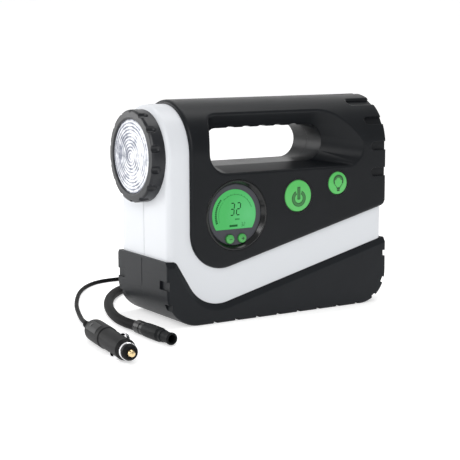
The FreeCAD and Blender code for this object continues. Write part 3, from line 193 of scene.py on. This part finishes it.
def metal(name, colour, rough, brushed=0.0, scale=900.0):
    """Metal with fine brushing and slow changes of gloss."""
    material, tree, shader = blank_material(name, colour, rough, metallic=1.0)
    surface = node(tree, "ShaderNodeGroup", node_tree=MOULDING)
    surface.inputs["Scale"].default_value = scale
    darker = tuple(part * 0.86 for part in colour) + (1.0,)
    base = mixed(tree, surface.outputs["Mottle"], darker, (*colour, 1.0))
    tree.links.new(base, shader.inputs["Base Color"])
    gloss = math_node(tree, "ADD", rough, math_node(tree, "MULTIPLY", surface.outputs["Scuff"], 0.12))
    tree.links.new(gloss, shader.inputs["Roughness"])
    bump = node(tree, "ShaderNodeBump", {"Strength": 0.3, "Distance": 0.00001 + brushed * 0.00003})
    tree.links.new(surface.outputs["Height"], bump.inputs["Height"])
    tree.links.new(bump.outputs["Normal"], shader.inputs["Normal"])
    return material


def lit_plastic(name, colour, glow, strength, rough=0.3, centre=None, reach=0.02, heart=None):
    """Translucent plastic lit from behind, brighter towards its centre."""
    material, tree, shader = blank_material(name, colour, rough)
    surface = node(tree, "ShaderNodeGroup", node_tree=MOULDING)
    surface.inputs["Scale"].default_value = 900.0
    place = node(tree, "ShaderNodeTexCoord").outputs["Object"]
    gap = node(tree, "ShaderNodeVectorMath", operation="DISTANCE")
    tree.links.new(place, gap.inputs[0])
    gap.inputs[1].default_value = centre
    near = math_node(tree, "DIVIDE", gap.outputs["Value"], reach, clamp=True)
    lit = mixed(tree, near, (*(heart or glow), 1.0), (*glow, 1.0))
    tree.links.new(lit, shader.inputs["Emission Color"])
    shader.inputs["Emission Strength"].default_value = strength
    dark = tuple(part * 0.9 for part in colour) + (1.0,)
    tree.links.new(mixed(tree, surface.outputs["Mottle"], dark, (*colour, 1.0)), shader.inputs["Base Color"])
    bump = node(tree, "ShaderNodeBump", {"Strength": 0.3, "Distance": 0.00001})
    tree.links.new(surface.outputs["Height"], bump.inputs["Height"])
    tree.links.new(bump.outputs["Normal"], shader.inputs["Normal"])
    return material


def ring_wave(tree, place, turns):
    """A wave that repeats outwards from the lamp's axis, and how far a point is to the side of that axis."""
    axis = mid("lamp_lens")
    parts = node(tree, "ShaderNodeSeparateXYZ")
    tree.links.new(place, parts.inputs[0])
    side = math_node(tree, "SUBTRACT", parts.outputs["Y"], axis.y)
    rise = math_node(tree, "SUBTRACT", parts.outputs["Z"], axis.z)
    radius = math_node(tree, "SQRT", math_node(tree, "ADD", math_node(tree, "MULTIPLY", side, side),
                                               math_node(tree, "MULTIPLY", rise, rise)))
    return math_node(tree, "SINE", math_node(tree, "MULTIPLY", radius, turns)), side


LENS_RING_TURNS = 1980.0          # radians of wave for each metre out from the axis
REFLECTOR_RING_TURNS = 2300.0


def lens_material():
    """Clear moulded lens whose rings catch the lamp's light in broken arcs."""
    material, tree, shader = blank_material("lens_clear", (0.80, 0.83, 0.88), 0.12)
    shader.inputs["Transmission Weight"].default_value = 0.45
    shader.inputs["IOR"].default_value = 1.49
    place = node(tree, "ShaderNodeTexCoord").outputs["Object"]
    rings, side = ring_wave(tree, place, LENS_RING_TURNS)
    breaks = node(tree, "ShaderNodeTexNoise", {"Scale": 150.0, "Detail": 2.0, "Roughness": 0.6})
    tree.links.new(place, breaks.inputs["Vector"])
    patches = math_node(tree, "MULTIPLY", math_node(tree, "SUBTRACT", breaks.outputs["Fac"], 0.5), 2.3)
    front_side = math_node(tree, "MULTIPLY", side, -9.0)
    uneven = math_node(tree, "ADD", math_node(tree, "ADD", patches, front_side), 0.50)
    lit = math_node(tree, "ADD", math_node(tree, "MULTIPLY", rings, 0.50), uneven, clamp=True)
    tint = mixed(tree, lit, (0.20, 0.22, 0.29, 1.0), (0.95, 0.96, 1.0, 1.0))
    tree.links.new(tint, shader.inputs["Base Color"])
    tree.links.new(mixed(tree, lit, (0.03, 0.035, 0.05, 1.0), (1.0, 1.0, 1.0, 1.0)),
                   shader.inputs["Emission Color"])
    shader.inputs["Emission Strength"].default_value = 0.34
    bump = node(tree, "ShaderNodeBump", {"Strength": 0.7, "Distance": 0.0005})
    tree.links.new(rings, bump.inputs["Height"])
    tree.links.new(bump.outputs["Normal"], shader.inputs["Normal"])
    return material


def reflector_material():
    """Vacuum-plated bowl lit by the lamp: bright metal with glowing rings round the axis."""
    material, tree, shader = blank_material("reflector_plate", (0.62, 0.64, 0.68), 0.18, metallic=1.0)
    place = node(tree, "ShaderNodeTexCoord").outputs["Object"]
    rings = ring_wave(tree, place, REFLECTOR_RING_TURNS)[0]
    flare = node(tree, "ShaderNodeTexNoise", {"Scale": 75.0, "Detail": 3.0, "Roughness": 0.7})
    tree.links.new(place, flare.inputs["Vector"])
    glints = math_node(tree, "MULTIPLY", math_node(tree, "SUBTRACT", flare.outputs["Fac"], 0.5), 3.4)
    lit = math_node(tree, "ADD", math_node(tree, "MULTIPLY", rings, 0.34),
                    math_node(tree, "ADD", glints, 0.45), clamp=True)
    tree.links.new(mixed(tree, lit, (0.05, 0.06, 0.10, 1.0), (1.0, 1.0, 1.0, 1.0)),
                   shader.inputs["Emission Color"])
    shader.inputs["Emission Strength"].default_value = 0.34
    bump = node(tree, "ShaderNodeBump", {"Strength": 0.4, "Distance": 0.0003})
    tree.links.new(rings, bump.inputs["Height"])
    tree.links.new(bump.outputs["Normal"], shader.inputs["Normal"])
    return material


def smooth_rubber(name, colour, rough, specular):
    """Extruded rubber: smooth and a little chalky."""
    return moulded(name, colour, rough, scale=2200.0, depth=0.00001, mottle=0.12, highlight=0.05, edge=0.0003,
                   specular=specular)


power_mid = mid("power_button")
light_mid = mid("light_button")
gauge_mid = mid("gauge_face")
lcd_mid = mid("lcd_window")

LIME = (0.060, 0.34, 0.075)
LIME_GLOW = (0.085, 0.46, 0.105)
LIME_HEART = (0.10, 0.50, 0.12)
PALE = moulded("pale_shell", (0.70, 0.72, 0.75), 0.36, scale=1600.0, depth=0.000012, mottle=0.015, highlight=0.1)
COVER = moulded("cover_satin", (0.0056, 0.0068, 0.0086), 0.36, scale=1500.0, depth=0.00002, mottle=0.10,
                highlight=0.12, specular=0.18)
BOOT = moulded("boot_satin", (0.0064, 0.0080, 0.0105), 0.46, scale=1300.0, depth=0.00003, mottle=0.10,
               highlight=0.15, specular=0.21)
BEZEL = moulded("bezel_satin", (0.008, 0.009, 0.012), 0.36, scale=1500.0, mottle=0.08, specular=0.4)
GAUGE_BLACK = moulded("gauge_ring_gloss", (0.003, 0.0035, 0.004), 0.16, depth=0.000004, mottle=0.05,
                      specular=0.4)
GAUGE_GREY = moulded("gauge_face_grey", (0.050, 0.052, 0.062), 0.40, scale=1800.0, mottle=0.05, specular=0.3)
CORD = smooth_rubber("cord_jacket", (0.0022, 0.0022, 0.0026), 0.58, 0.06)
HOSE = smooth_rubber("hose_jacket", (0.0022, 0.0022, 0.0026), 0.56, 0.06)
FERRULE = moulded("ferrule_gloss", (0.002, 0.002, 0.0025), 0.26, depth=0.000004, mottle=0.06, specular=0.25)
CONNECTOR = moulded("connector_satin", (0.0055, 0.0065, 0.0075), 0.50, mottle=0.1, specular=0.10)
PLUG = moulded("plug_satin", (0.0038, 0.0040, 0.0045), 0.48, mottle=0.12, specular=0.09)
PLUG_PANEL = moulded("plug_panel", (0.014, 0.015, 0.016), 0.46, mottle=0.1, specular=0.25)
BLACK = moulded("plain_black", (0.012, 0.012, 0.013), 0.4)
SEAM = moulded("seam_shadow", (0.003, 0.0035, 0.004), 0.7, highlight=0.0, specular=0.1)
PALE_SEAM = moulded("pale_seam", (0.42, 0.44, 0.46), 0.6, highlight=0.0)
CHROME = metal("chrome_plate", (0.86, 0.86, 0.88), 0.10)
BRASS = metal("brass_turned", (0.80, 0.62, 0.34), 0.22, brushed=0.5)
STEEL = metal("steel_bright", (0.56, 0.57, 0.60), 0.28, brushed=0.6)
ALLOY = metal("alloy_cast", (0.62, 0.63, 0.65), 0.42, brushed=1.0, scale=500.0)
BOARD = moulded("board_resist", (0.02, 0.13, 0.05), 0.35, mottle=0.15)
NYLON = moulded("rod_nylon", (0.72, 0.72, 0.66), 0.45, mottle=0.04)
LENS = lens_material()
REFLECTOR = reflector_material()
LED = lit_plastic("led_phosphor", (0.9, 0.9, 0.8), (1.0, 0.98, 0.92), 0.9, centre=mid("lamp_led_board"))
LCD = lit_plastic("lcd_backlight", (0.01, 0.10, 0.02), (0.030, 0.34, 0.070), 1.0, rough=0.2, reach=0.026,
                  centre=lcd_mid + Vector((0.016, 0.0, -0.006)), heart=(0.075, 0.42, 0.145))
POWER_GREEN = lit_plastic("power_lens", LIME, LIME_GLOW, 0.36, centre=power_mid, reach=0.018,
                          heart=LIME_HEART)
LIGHT_GREEN = lit_plastic("light_lens", LIME, LIME_GLOW, 0.36, centre=light_mid, reach=0.014,
                          heart=LIME_HEART)
SMALL_GREEN = lit_plastic("small_lens", LIME, LIME_GLOW, 0.10, centre=mid("minus_button"), reach=0.020)
INK = moulded("segment_ink", (0.004, 0.045, 0.012), 0.3, highlight=0.0, specular=0.1)
FAINT = moulded("segment_faint", (0.012, 0.12, 0.03), 0.3, highlight=0.0, specular=0.1)
ICON = moulded("icon_ink", (0.012, 0.060, 0.018), 0.4, highlight=0.0)
ICON_SOFT = moulded("icon_soft", (0.035, 0.190, 0.045), 0.4, highlight=0.0)

FINISH = {
    PALE: ["front_housing", "rear_housing"],
    COVER: ["front_cover", "rear_cover"],
    BOOT: ["front_boot", "rear_boot"],
    BEZEL: ["lamp_bezel"],
    REFLECTOR: ["lamp_reflector"],
    LED: ["lamp_led_board"],
    LENS: ["lamp_lens"],
    GAUGE_BLACK: ["gauge_bezel"],
    GAUGE_GREY: ["gauge_face", "lcd_module"],
    LCD: ["lcd_window"],
    POWER_GREEN: ["power_button"],
    LIGHT_GREEN: ["light_button"],
    SMALL_GREEN: ["minus_button", "plus_button"],
    BOARD: ["control_board"],
    BLACK: ["tact_switches", "pressure_sensor", "motor_end_cap", "cooling_fan", "piston_seal",
            "rubber_mounts", "cord_tie"],
    STEEL: ["housing_screws", "motor_can", "motor_rotor", "pinion", "crank_gear", "crank_pin", "head_screws",
            "motor_screws", "reed_valve", "plug_fuse"],
    ALLOY: ["gearbox_frame", "piston", "cylinder", "cylinder_head"],
    BRASS: ["crank_bearing", "connector_stem", "plug_tip"],
    NYLON: ["connecting_rod"],
    HOSE: ["outlet_pipe"],
    CORD: ["hose_gland", "power_gland", "plug_relief"],
    FERRULE: ["hose_ferrule"],
    CONNECTOR: ["hose_connector"],
    PLUG: ["plug_body", "plug_nose"],
    CHROME: ["plug_ring", "left_contact", "right_contact"],
}
for material, names in FINISH.items():
    for name in names:
        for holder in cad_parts[name].material_slots:
            holder.material = material


# ---------------------------------------------------------------- mesh helpers
def finished(name, mesh, material, body=HOME, smooth=True, slot=None):
    """Makes a mesh into a piece with a finish that rides on a body."""
    piece = bpy.data.objects.new(name, mesh)
    bpy.context.scene.collection.objects.link(piece)
    mesh.materials.append(material)
    for face in mesh.polygons:
        face.use_smooth = smooth
    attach(piece, body)
    return piece


def lathe(name, profile, start, towards, material, turns=64, crease=math.radians(38), **riding):
    """Turns (radius, distance) corners, in millimetres, about the line from start to towards."""
    axis = (Vector(towards) - Vector(start)).normalized()
    side = axis.cross(Vector((0, 0, 1)) if abs(axis.z) < 0.9 else Vector((1, 0, 0))).normalized()
    other = axis.cross(side)
    shape = bmesh.new()
    rings = []
    for radius, distance in profile:
        centre = Vector(start) + axis * distance * MM
        if radius == 0:
            rings.append([shape.verts.new(centre)])
            continue
        ring = []
        for step in range(turns):
            angle = 2 * math.pi * step / turns
            out = side * math.cos(angle) + other * math.sin(angle)
            ring.append(shape.verts.new(centre + out * radius * MM))
        rings.append(ring)
    for first, second in zip(rings, rings[1:]):
        for step in range(turns):
            after = (step + 1) % turns
            if len(first) == 1:
                shape.faces.new((first[0], second[after], second[step]))
            elif len(second) == 1:
                shape.faces.new((first[step], first[after], second[0]))
            else:
                shape.faces.new((first[step], first[after], second[after], second[step]))
    bmesh.ops.recalc_face_normals(shape, faces=shape.faces)
    for edge in shape.edges:
        edge.smooth = edge.calc_face_angle(0.0) < crease
    mesh = bpy.data.meshes.new(name)
    shape.to_mesh(mesh)
    shape.free()
    return finished(name, mesh, material, **riding)


def plates(name, outlines, front, thick, material, **riding):
    """Flat plates facing the front: outlines are lists of (x, z) in metres, front is their y."""
    shape = bmesh.new()
    for outline in outlines:
        near = [shape.verts.new((x, front, z)) for x, z in outline]
        far = [shape.verts.new((x, front + thick, z)) for x, z in outline]
        shape.faces.new(near)
        shape.faces.new(list(reversed(far)))
        count = len(outline)
        for step in range(count):
            after = (step + 1) % count
            shape.faces.new((near[after], near[step], far[step], far[after]))
    bmesh.ops.recalc_face_normals(shape, faces=shape.faces)
    mesh = bpy.data.meshes.new(name)
    shape.to_mesh(mesh)
    shape.free()
    return finished(name, mesh, material, smooth=False, **riding)


def band_arc(centre, inner, outer, low, high, steps=12):
    """The outline of part of a ring, from angle low to angle high in degrees."""
    angles = [math.radians(low + (high - low) * step / steps) for step in range(steps + 1)]
    rim = [(centre.x + outer * math.cos(a), centre.z + outer * math.sin(a)) for a in angles]
    return rim + [(centre.x + inner * math.cos(a), centre.z + inner * math.sin(a)) for a in reversed(angles)]


def bar(x, z, half_wide, half_tall):
    return [(x - half_wide, z - half_tall), (x + half_wide, z - half_tall),
            (x + half_wide, z + half_tall), (x - half_wide, z + half_tall)]


def curve(name, points, radius, material, body=HOME):
    """A round cord along a smooth spline through given control points, in metres."""
    data = bpy.data.curves.new(name, "CURVE")
    data.dimensions = "3D"
    spline = data.splines.new("NURBS")
    spline.points.add(len(points) - 1)
    for point, spot in zip(spline.points, points):
        point.co = (*spot, 1.0)
    spline.order_u = 3
    spline.use_endpoint_u = True
    spline.resolution_u = 6
    data.bevel_depth = radius
    data.bevel_resolution = 6
    data.use_fill_caps = True
    data.materials.append(material)
    piece = bpy.data.objects.new(name, data)
    bpy.context.scene.collection.objects.link(piece)
    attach(piece, body)
    return piece


# ---------------------------------------------------------------- lamp lens with moulded rings
lens_low, lens_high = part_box("lamp_lens")
LENS_RADIUS = (lens_high[2] - lens_low[2]) / 2 / MM
LENS_THICK = (lens_high[0] - lens_low[0]) / MM
lens_back = Vector((lens_high[0], mid("lamp_lens").y, mid("lamp_lens").z))
lens_front = lens_back - Vector((0.01, 0, 0))
RING_PITCH = 2.6
RING_RISE = 0.42
RIM_THICK = 1.9
CROWN_RISE = 0.7
profile = [(0.0, 0.6), (LENS_RADIUS, 0.0), (LENS_RADIUS, RIM_THICK)]
radius = LENS_RADIUS - 1.2
while radius > RING_PITCH:
    crown = RIM_THICK + CROWN_RISE * (1 - (radius / LENS_RADIUS) ** 2)
    profile += [(radius, crown), (radius - 0.5, crown + RING_RISE), (radius - RING_PITCH + 0.4, crown - 0.05)]
    radius -= RING_PITCH
profile.append((0.0, min(LENS_THICK, 2.7)))
lens = lathe("ringed_lens", profile, lens_back, lens_front, LENS, turns=96, slot="lens_clear")
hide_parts("lamp_lens")


# ---------------------------------------------------------------- display and button marks
lcd_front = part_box("lcd_window")[0][1] - 0.00012
INK_THICK = 0.00006
SEGMENTS = {"3": "abgcd", "2": "abged"}
FIGURE_LEAN = 0.08


def digit(figure, x, z, wide, tall, line):
    """Seven-segment strokes of one figure, leaning a little to the right."""
    half = tall / 2
    level = wide / 2 - line * 0.6
    upright = half / 2 - line * 0.6
    spots = {
        "a": bar(x, z + half, level, line / 2),
        "g": bar(x, z, level, line / 2),
        "d": bar(x, z - half, level, line / 2),
        "b": bar(x + wide / 2, z + half / 2, line / 2, upright),
        "c": bar(x + wide / 2, z - half / 2, line / 2, upright),
        "e": bar(x - wide / 2, z - half / 2, line / 2, upright),
    }
    return [[(px + (pz - z) * FIGURE_LEAN, pz) for px, pz in spots[key]] for key in SEGMENTS[figure]]


centre = gauge_mid
BIG_FIGURE = (0.0040, 0.0113, 0.0010)       # width, height and line of a figure
SMALL_FIGURE = (0.0013, 0.0036, 0.0004)
strokes = digit("3", centre.x - 0.0030, centre.z + 0.0053, *BIG_FIGURE)
strokes += digit("2", centre.x + 0.0038, centre.z + 0.0053, *BIG_FIGURE)
plates("display_figures", strokes, lcd_front, INK_THICK, INK)
SCALE_RADIUS = 0.0212
ticks = []
for number in range(14):
    low = 136 + 4.7 * number
    wide = 0.0014 + 0.00007 * number
    ticks.append(band_arc(centre, SCALE_RADIUS - wide / 2, SCALE_RADIUS + wide / 2, low, low + 3.6, steps=3))
plates("display_scale", ticks, lcd_front, INK_THICK, FAINT)
arcs = [band_arc(centre, 0.0188, 0.0191, 20, 132, steps=40),
        band_arc(centre, 0.0180, 0.0182, 136, 202, steps=20)]
arcs += [band_arc(centre, 0.0192, 0.0199, angle, angle + 1.2, steps=2) for angle in range(20, 130, 12)]
arcs += digit("3", centre.x + 0.0076, centre.z - 0.0097, *SMALL_FIGURE)
arcs += digit("2", centre.x + 0.0102, centre.z - 0.0097, *SMALL_FIGURE)
arcs += [bar(centre.x + 0.0004 + 0.0013 * n, centre.z - 0.0044, 0.0004, 0.0007) for n in range(4)]
arcs.append(bar(centre.x - 0.0018, centre.z - 0.0104, 0.0044, 0.0010))
plates("display_marks", arcs, lcd_front, INK_THICK, FAINT)


def face_y(name):
    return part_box(name)[0][1]


MARK_SINK = 0.00045
power_front = face_y("power_button") + MARK_SINK
cover_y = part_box("front_cover")[0][1]
FORWARD = Vector((0, -0.01, 0))
for name, spot, reach in (("power", power_mid, 15.0), ("light", light_mid, 10.8)):
    start = Vector((spot.x, cover_y, spot.z))
    # A thin gloss-black ring just proud of the cover round each key: painted shadow for the gap round the
    # key.
    shadow_ring = [(reach + 0.55, -1.2), (reach + 0.6, 0.06), (reach + 1.5, 0.10), (reach + 1.6, -0.6),
            (reach + 0.55, -1.2)]
    lathe(name + "_shadow_ring", shadow_ring, start, start + FORWARD, GAUGE_BLACK, turns=96)
    lip = [(reach + 1.5, -0.4), (reach + 1.6, 0.22), (reach + 2.0, 0.26), (reach + 2.5, -0.05),
           (reach + 1.5, -0.4)]
    lathe(name + "_lip", lip, start, start + FORWARD, COVER, turns=96)
ring_at = Vector((power_mid.x, 0, power_mid.z - 0.0024))
power_fill = [band_arc(ring_at, 0.0050, 0.0076, 118, 422, steps=48),
              bar(power_mid.x, power_mid.z + 0.0026, 0.0012, 0.0056)]
power_lines = [band_arc(ring_at, 0.0046, 0.0051, 118, 422, steps=48),
               band_arc(ring_at, 0.0075, 0.0080, 116, 424, steps=48)]
for side in (-1, 1):
    power_lines.append(bar(power_mid.x + side * 0.00135, power_mid.z + 0.0026, 0.00028, 0.0058))
power_lines += [bar(power_mid.x, power_mid.z + 0.0084, 0.0014, 0.0003),
                bar(power_mid.x, power_mid.z - 0.0032, 0.0014, 0.0003)]
plates("power_mark", power_lines, power_front - 0.00055, 0.0006, ICON, body="power_key")
plates("power_mark_fill", power_fill, power_front - 0.00050, 0.0005, ICON_SOFT, body="power_key")
light_front = face_y("light_button") + MARK_SINK
bulb = Vector((light_mid.x, 0, light_mid.z + 0.0022))
foot = light_mid.z - 0.0042
light_lines = [band_arc(bulb, 0.0047, 0.0059, -28, 208, steps=40)]
for side in (-1, 1):
    light_lines.append([(bulb.x + side * 0.0052, bulb.z - 0.0026), (bulb.x + side * 0.0044, bulb.z - 0.0030),
                        (bulb.x + side * 0.0016, foot), (bulb.x + side * 0.0022, foot)])
light_lines += [bar(bulb.x, foot - 0.0002, 0.0022, 0.0003), bar(bulb.x, foot - 0.0014, 0.0018, 0.0006),
                bar(bulb.x, foot - 0.0030, 0.0014, 0.0006)]
light_fill = [band_arc(bulb, 0.0030, 0.0047, 10, 170, steps=24)]
plates("light_mark", light_lines, light_front - 0.00055, 0.0006, ICON, body="light_key")
plates("light_mark_fill", light_fill, light_front - 0.00050, 0.0005, ICON_SOFT, body="light_key")
for name in ("minus", "plus"):
    spot = mid(name + "_button")
    sign = [bar(spot.x, spot.z, 0.0015, 0.00035)]
    if name == "plus":
        sign.append(bar(spot.x, spot.z, 0.00035, 0.0015))
    plates(name + "_mark", sign, face_y(name + "_button") - 0.00004, 0.0005, ICON, body=name + "_key")


# ---------------------------------------------------------------- parting lines of the shells
boot_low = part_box("front_boot")[0]
LINE = 0.00016
CORNER = 0.034
left = boot_low[0] - 0.00002
seam_points = [(left, 0, 0.0615), (left, 0, 0.046), (left, 0, CORNER)]
for step in range(1, 7):
    angle = math.radians(90 / 6 * step)
    seam_points.append((left + CORNER * (1 - math.cos(angle)), 0, CORNER * (1 - math.sin(angle))))
curve("boot_seam", seam_points, LINE, SEAM)
housing_low, housing_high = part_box("front_housing")
lamp_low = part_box("lamp_bezel")[0]
seam_points = [(housing_low[0], 0, 0.0625), (housing_low[0], 0, 0.08), (housing_low[0], 0, lamp_low[2])]
curve("housing_seam", seam_points, LINE * 0.9, PALE_SEAM)
roof = housing_high[2]
seam_points = [(housing_low[0] + 0.006, 0, roof), (housing_low[0] + 0.012, 0, roof), (-0.1035, 0, roof)]
curve("roof_seam", seam_points, LINE * 0.9, PALE_SEAM)

# ---------------------------------------------------------------- air hose
HOSE_ROUTE = [(20.0, 44.0, 19.0), (20.0, 76.0, 19.0), (15.0, 101.0, 12.0), (0.0, 121.0, 5.2),
              (-24.0, 133.0, 4.7), (-52.0, 138.0, 4.7), (-80.0, 131.0, 4.7), (-105.0, 108.0, 4.7),
              (-125.0, 78.0, 4.7), (-141.0, 44.0, 4.7), (-152.0, 10.0, 4.7), (-156.8, -16.0, 5.5),
              (-157.6, -38.0, 6.4), (-156.8, -59.5, 6.6)]
HOSE_RADIUS = 4.7
hose = curve("air_hose_line", metres(HOSE_ROUTE), HOSE_RADIUS * MM, HOSE)
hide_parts("air_hose")


def ribbed(name, start, towards, narrow, wide, length, ribs, material, lead=2.0, **riding):
    """A tapered strain relief with a row of ribs."""
    profile = [(narrow * 0.98, 0.0), (wide, 0.0), (wide, lead)]
    span = (length - lead) / ribs
    for number in range(ribs):
        share = number / ribs
        rim = wide + (narrow + 0.9 - wide) * share
        groove = rim - 0.9
        base = lead + span * number
        profile += [(groove, base + 0.15 * span), (groove, base + 0.45 * span),
                    (rim - 0.1, base + 0.55 * span), (rim - 0.1, base + 0.95 * span)]
    profile += [(narrow + 0.5, length), (narrow * 0.98, length)]
    return lathe(name, profile, start, towards, material, turns=48, **riding)


wall_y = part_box("rear_boot")[1][1]
GLAND_LONG = 20.0
BACKWARD = Vector((0, 0.02, 0))
hose_exit = Vector((20.0 * MM, wall_y, 19.0 * MM))
hose_relief = ribbed("hose_relief", hose_exit, hose_exit + BACKWARD, HOSE_RADIUS, 8.6, GLAND_LONG, 5, CORD)
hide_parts("hose_gland")

# ---------------------------------------------------------------- power cord, coiled behind the body
CORD_RADIUS = 2.1
COIL_X = 62.0
COIL_Y = 128.0
LEAD = [(95.0, 44.0, 26.0), (95.0, 74.0, 25.5), (95.3, 98.0, 20.5)]
CORD_RUN = [(32.0, 165.0, 2.1), (2.0, 175.0, 2.1), (-28.0, 187.0, 2.1), (-57.0, 193.0, 2.1),
            (-82.0, 190.0, 2.1), (-104.0, 173.0, 2.1), (-124.0, 147.0, 2.1), (-143.0, 113.0, 2.1),
            (-158.0, 82.0, 2.1), (-170.0, 51.0, 2.1), (-182.0, 20.0, 4.0), (-193.0, -10.0, 8.0),
            (-202.0, -42.0, 10.4)]
COIL_LAYERS = 4
COIL_COLUMNS = 3
STEPS = 16                      # route points in each turn
SHIFT_FROM = 0.6                # the share of a turn after which the cord moves over to the next one
OUTER_TURN = 33.7
TURN_GAP = 4.5
LAYER_GAP = 4.3
coil_points = []
turn_count = COIL_LAYERS * COIL_COLUMNS
total_steps = turn_count * STEPS + STEPS // 4


def seat(number):
    """Radius and height of one turn of the coil, counted from the top outer one."""
    layer = number // COIL_COLUMNS
    column = number % COIL_COLUMNS
    if layer % 2:
        column = COIL_COLUMNS - 1 - column
    return OUTER_TURN - TURN_GAP * column, CORD_RADIUS + LAYER_GAP * (COIL_LAYERS - 1 - layer)


for step in range(total_steps + 1):
    turned = step / STEPS
    whole = min(int(turned), turn_count - 1)
    part = turned - whole
    here = seat(whole)
    following = seat(min(whole + 1, turn_count - 1))
    blend = max(0.0, (part - SHIFT_FROM) / (1 - SHIFT_FROM)) if part <= 1 else 1.0
    reach = here[0] + (following[0] - here[0]) * blend
    height = here[1] + (following[1] - here[1]) * blend
    angle = 2 * math.pi * turned
    coil_points.append((COIL_X + reach * math.cos(angle), COIL_Y + reach * math.sin(angle), height))
cord = curve("power_cord_line", metres(LEAD + coil_points + CORD_RUN), CORD_RADIUS * MM, CORD)
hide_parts("power_lead", "power_cord_coil", "power_cord")
cord_exit = Vector((95.0 * MM, wall_y, 26.0 * MM))
cord_relief = ribbed("cord_relief", cord_exit, cord_exit + BACKWARD, CORD_RADIUS, 7.6, GLAND_LONG, 6, CORD)
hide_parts("power_gland")
PLUG_START = Vector((-202.0, -42.0, 10.4)) * MM
PLUG_AHEAD = Vector((-216.0, -143.0, 10.4)) * MM
plug_way = (PLUG_AHEAD - PLUG_START).normalized()
relief_start = PLUG_START + plug_way * 4.0 * MM
plug_relief = ribbed("plug_ribs", relief_start, relief_start - plug_way, CORD_RADIUS, 4.5, 18.0, 6, CORD)
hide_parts("plug_relief")


def hull_patch(name, start, way, reach, low, high, first, last, material, rise=0.25, steps=14):
    """A raised panel on a round body: angles are up from level, on the side facing the lamp end."""
    side = Vector((way.y, -way.x, 0)).normalized()
    shape = bmesh.new()
    rows = []
    for radius in (reach - 0.2, reach + rise):
        for distance in (low, high):
            row = []
            for step in range(steps + 1):
                angle = math.radians(first + (last - first) * step / steps)
                out = side * math.cos(angle) + Vector((0, 0, 1)) * math.sin(angle)
                row.append(shape.verts.new(start + way * distance * MM + out * radius * MM))
            rows.append(row)
    for near, far in ((0, 1), (2, 3), (0, 2), (1, 3)):
        for step in range(steps):
            shape.faces.new((rows[near][step], rows[near][step + 1], rows[far][step + 1], rows[far][step]))
    for step in (0, steps):
        shape.faces.new((rows[0][step], rows[1][step], rows[3][step], rows[2][step]))
    bmesh.ops.recalc_face_normals(shape, faces=shape.faces)
    for edge in shape.edges:
        edge.smooth = edge.calc_face_angle(0.0) < math.radians(38)
    mesh = bpy.data.meshes.new(name)
    shape.to_mesh(mesh)
    shape.free()
    return finished(name, mesh, material)


BODY_RADIUS = 9.9
panel = hull_patch("plug_panel", PLUG_START, plug_way, BODY_RADIUS, 15.0, 39.0, 18.0, 74.0, PLUG_PANEL)
lamp_dot = hull_patch("plug_dot", PLUG_START, plug_way, BODY_RADIUS + 0.1, 20.0, 23.6, 39.0, 58.0,
                      GAUGE_BLACK, rise=0.35)

# ---------------------------------------------------------------- floor, light and camera
FLOOR_COLOUR = (0.86, 0.86, 0.86)
AZIMUTH = math.radians(-32.0)           # the backdrop faces the camera


def studio_floor():
    """A pale floor that curves up into a backdrop behind the object."""
    shape = bmesh.new()
    half_wide = 9.0
    bend_start = 3.0
    bend = 2.0
    path = [(-6.0, 0.0), (bend_start, 0.0)]
    for step in range(1, 13):
        angle = math.radians(90 / 12 * step)
        path.append((bend_start + bend * math.sin(angle), bend * (1 - math.cos(angle))))
    path.append((bend_start + bend, 7.0))
    lines = []
    for along, up in path:
        lines.append([shape.verts.new((side * half_wide, along, up)) for side in (-1, 1)])
    for first, second in zip(lines, lines[1:]):
        shape.faces.new((first[0], first[1], second[1], second[0]))
    mesh = bpy.data.meshes.new("studio_floor")
    turn = Matrix.Rotation(AZIMUTH, 4, "Z")
    shape.transform(turn)
    shape.to_mesh(mesh)
    shape.free()
    material, tree, shader = blank_material("studio_paper", FLOOR_COLOUR, 0.9, specular=0.1)
    shader.inputs["Emission Color"].default_value = (1.0, 1.0, 1.0, 1.0)
    shader.inputs["Emission Strength"].default_value = 0.48
    for face in mesh.polygons:
        face.use_smooth = True
    mesh.materials.append(material)
    floor = bpy.data.objects.new("studio_floor", mesh)
    bpy.context.scene.collection.objects.link(floor)


studio_floor()


def softbox(name, spot, aim, wide, tall, power):
    """A soft rectangular light aimed at one spot."""
    light = bpy.data.lights.new(name, "AREA")
    light.shape = "RECTANGLE"
    light.size = wide
    light.size_y = tall
    light.energy = power
    lamp = bpy.data.objects.new(name, light)
    lamp.location = spot
    lamp.rotation_euler = (Vector(aim) - Vector(spot)).to_track_quat("-Z", "Y").to_euler()
    bpy.context.scene.collection.objects.link(lamp)


AIM = (0.0, 0.0, 0.1)
softbox("key_box", (-1.45, -1.35, 1.3), AIM, 1.0, 1.0, 18.5)
softbox("rear_left_box", (-1.25, 1.35, 0.55), AIM, 1.2, 0.9, 12.5)
softbox("top_box", (0.25, 0.25, 1.6), AIM, 1.3, 0.8, 9.0)
world = bpy.data.worlds.new("studio")
world.use_nodes = True
world.node_tree.nodes["Background"].inputs["Color"].default_value = (1.0, 1.0, 1.0, 1.0)
world.node_tree.nodes["Background"].inputs["Strength"].default_value = 0.45
bpy.context.scene.world = world
bpy.context.scene.view_settings.view_transform = "Standard"

FOCAL = 100.96
ELEVATION = math.radians(8.5)
ROLL = math.radians(0.2)
camera_data = bpy.data.cameras.new("camera")
camera_data.lens = FOCAL
camera_data.sensor_width = 36.0
camera = bpy.data.objects.new("camera", camera_data)
camera.location = (-0.6914, -1.0602, 0.2654)
camera.rotation_euler = (math.radians(90) - ELEVATION, ROLL, AZIMUTH)
bpy.context.scene.collection.objects.link(camera)
bpy.context.scene.camera = camera
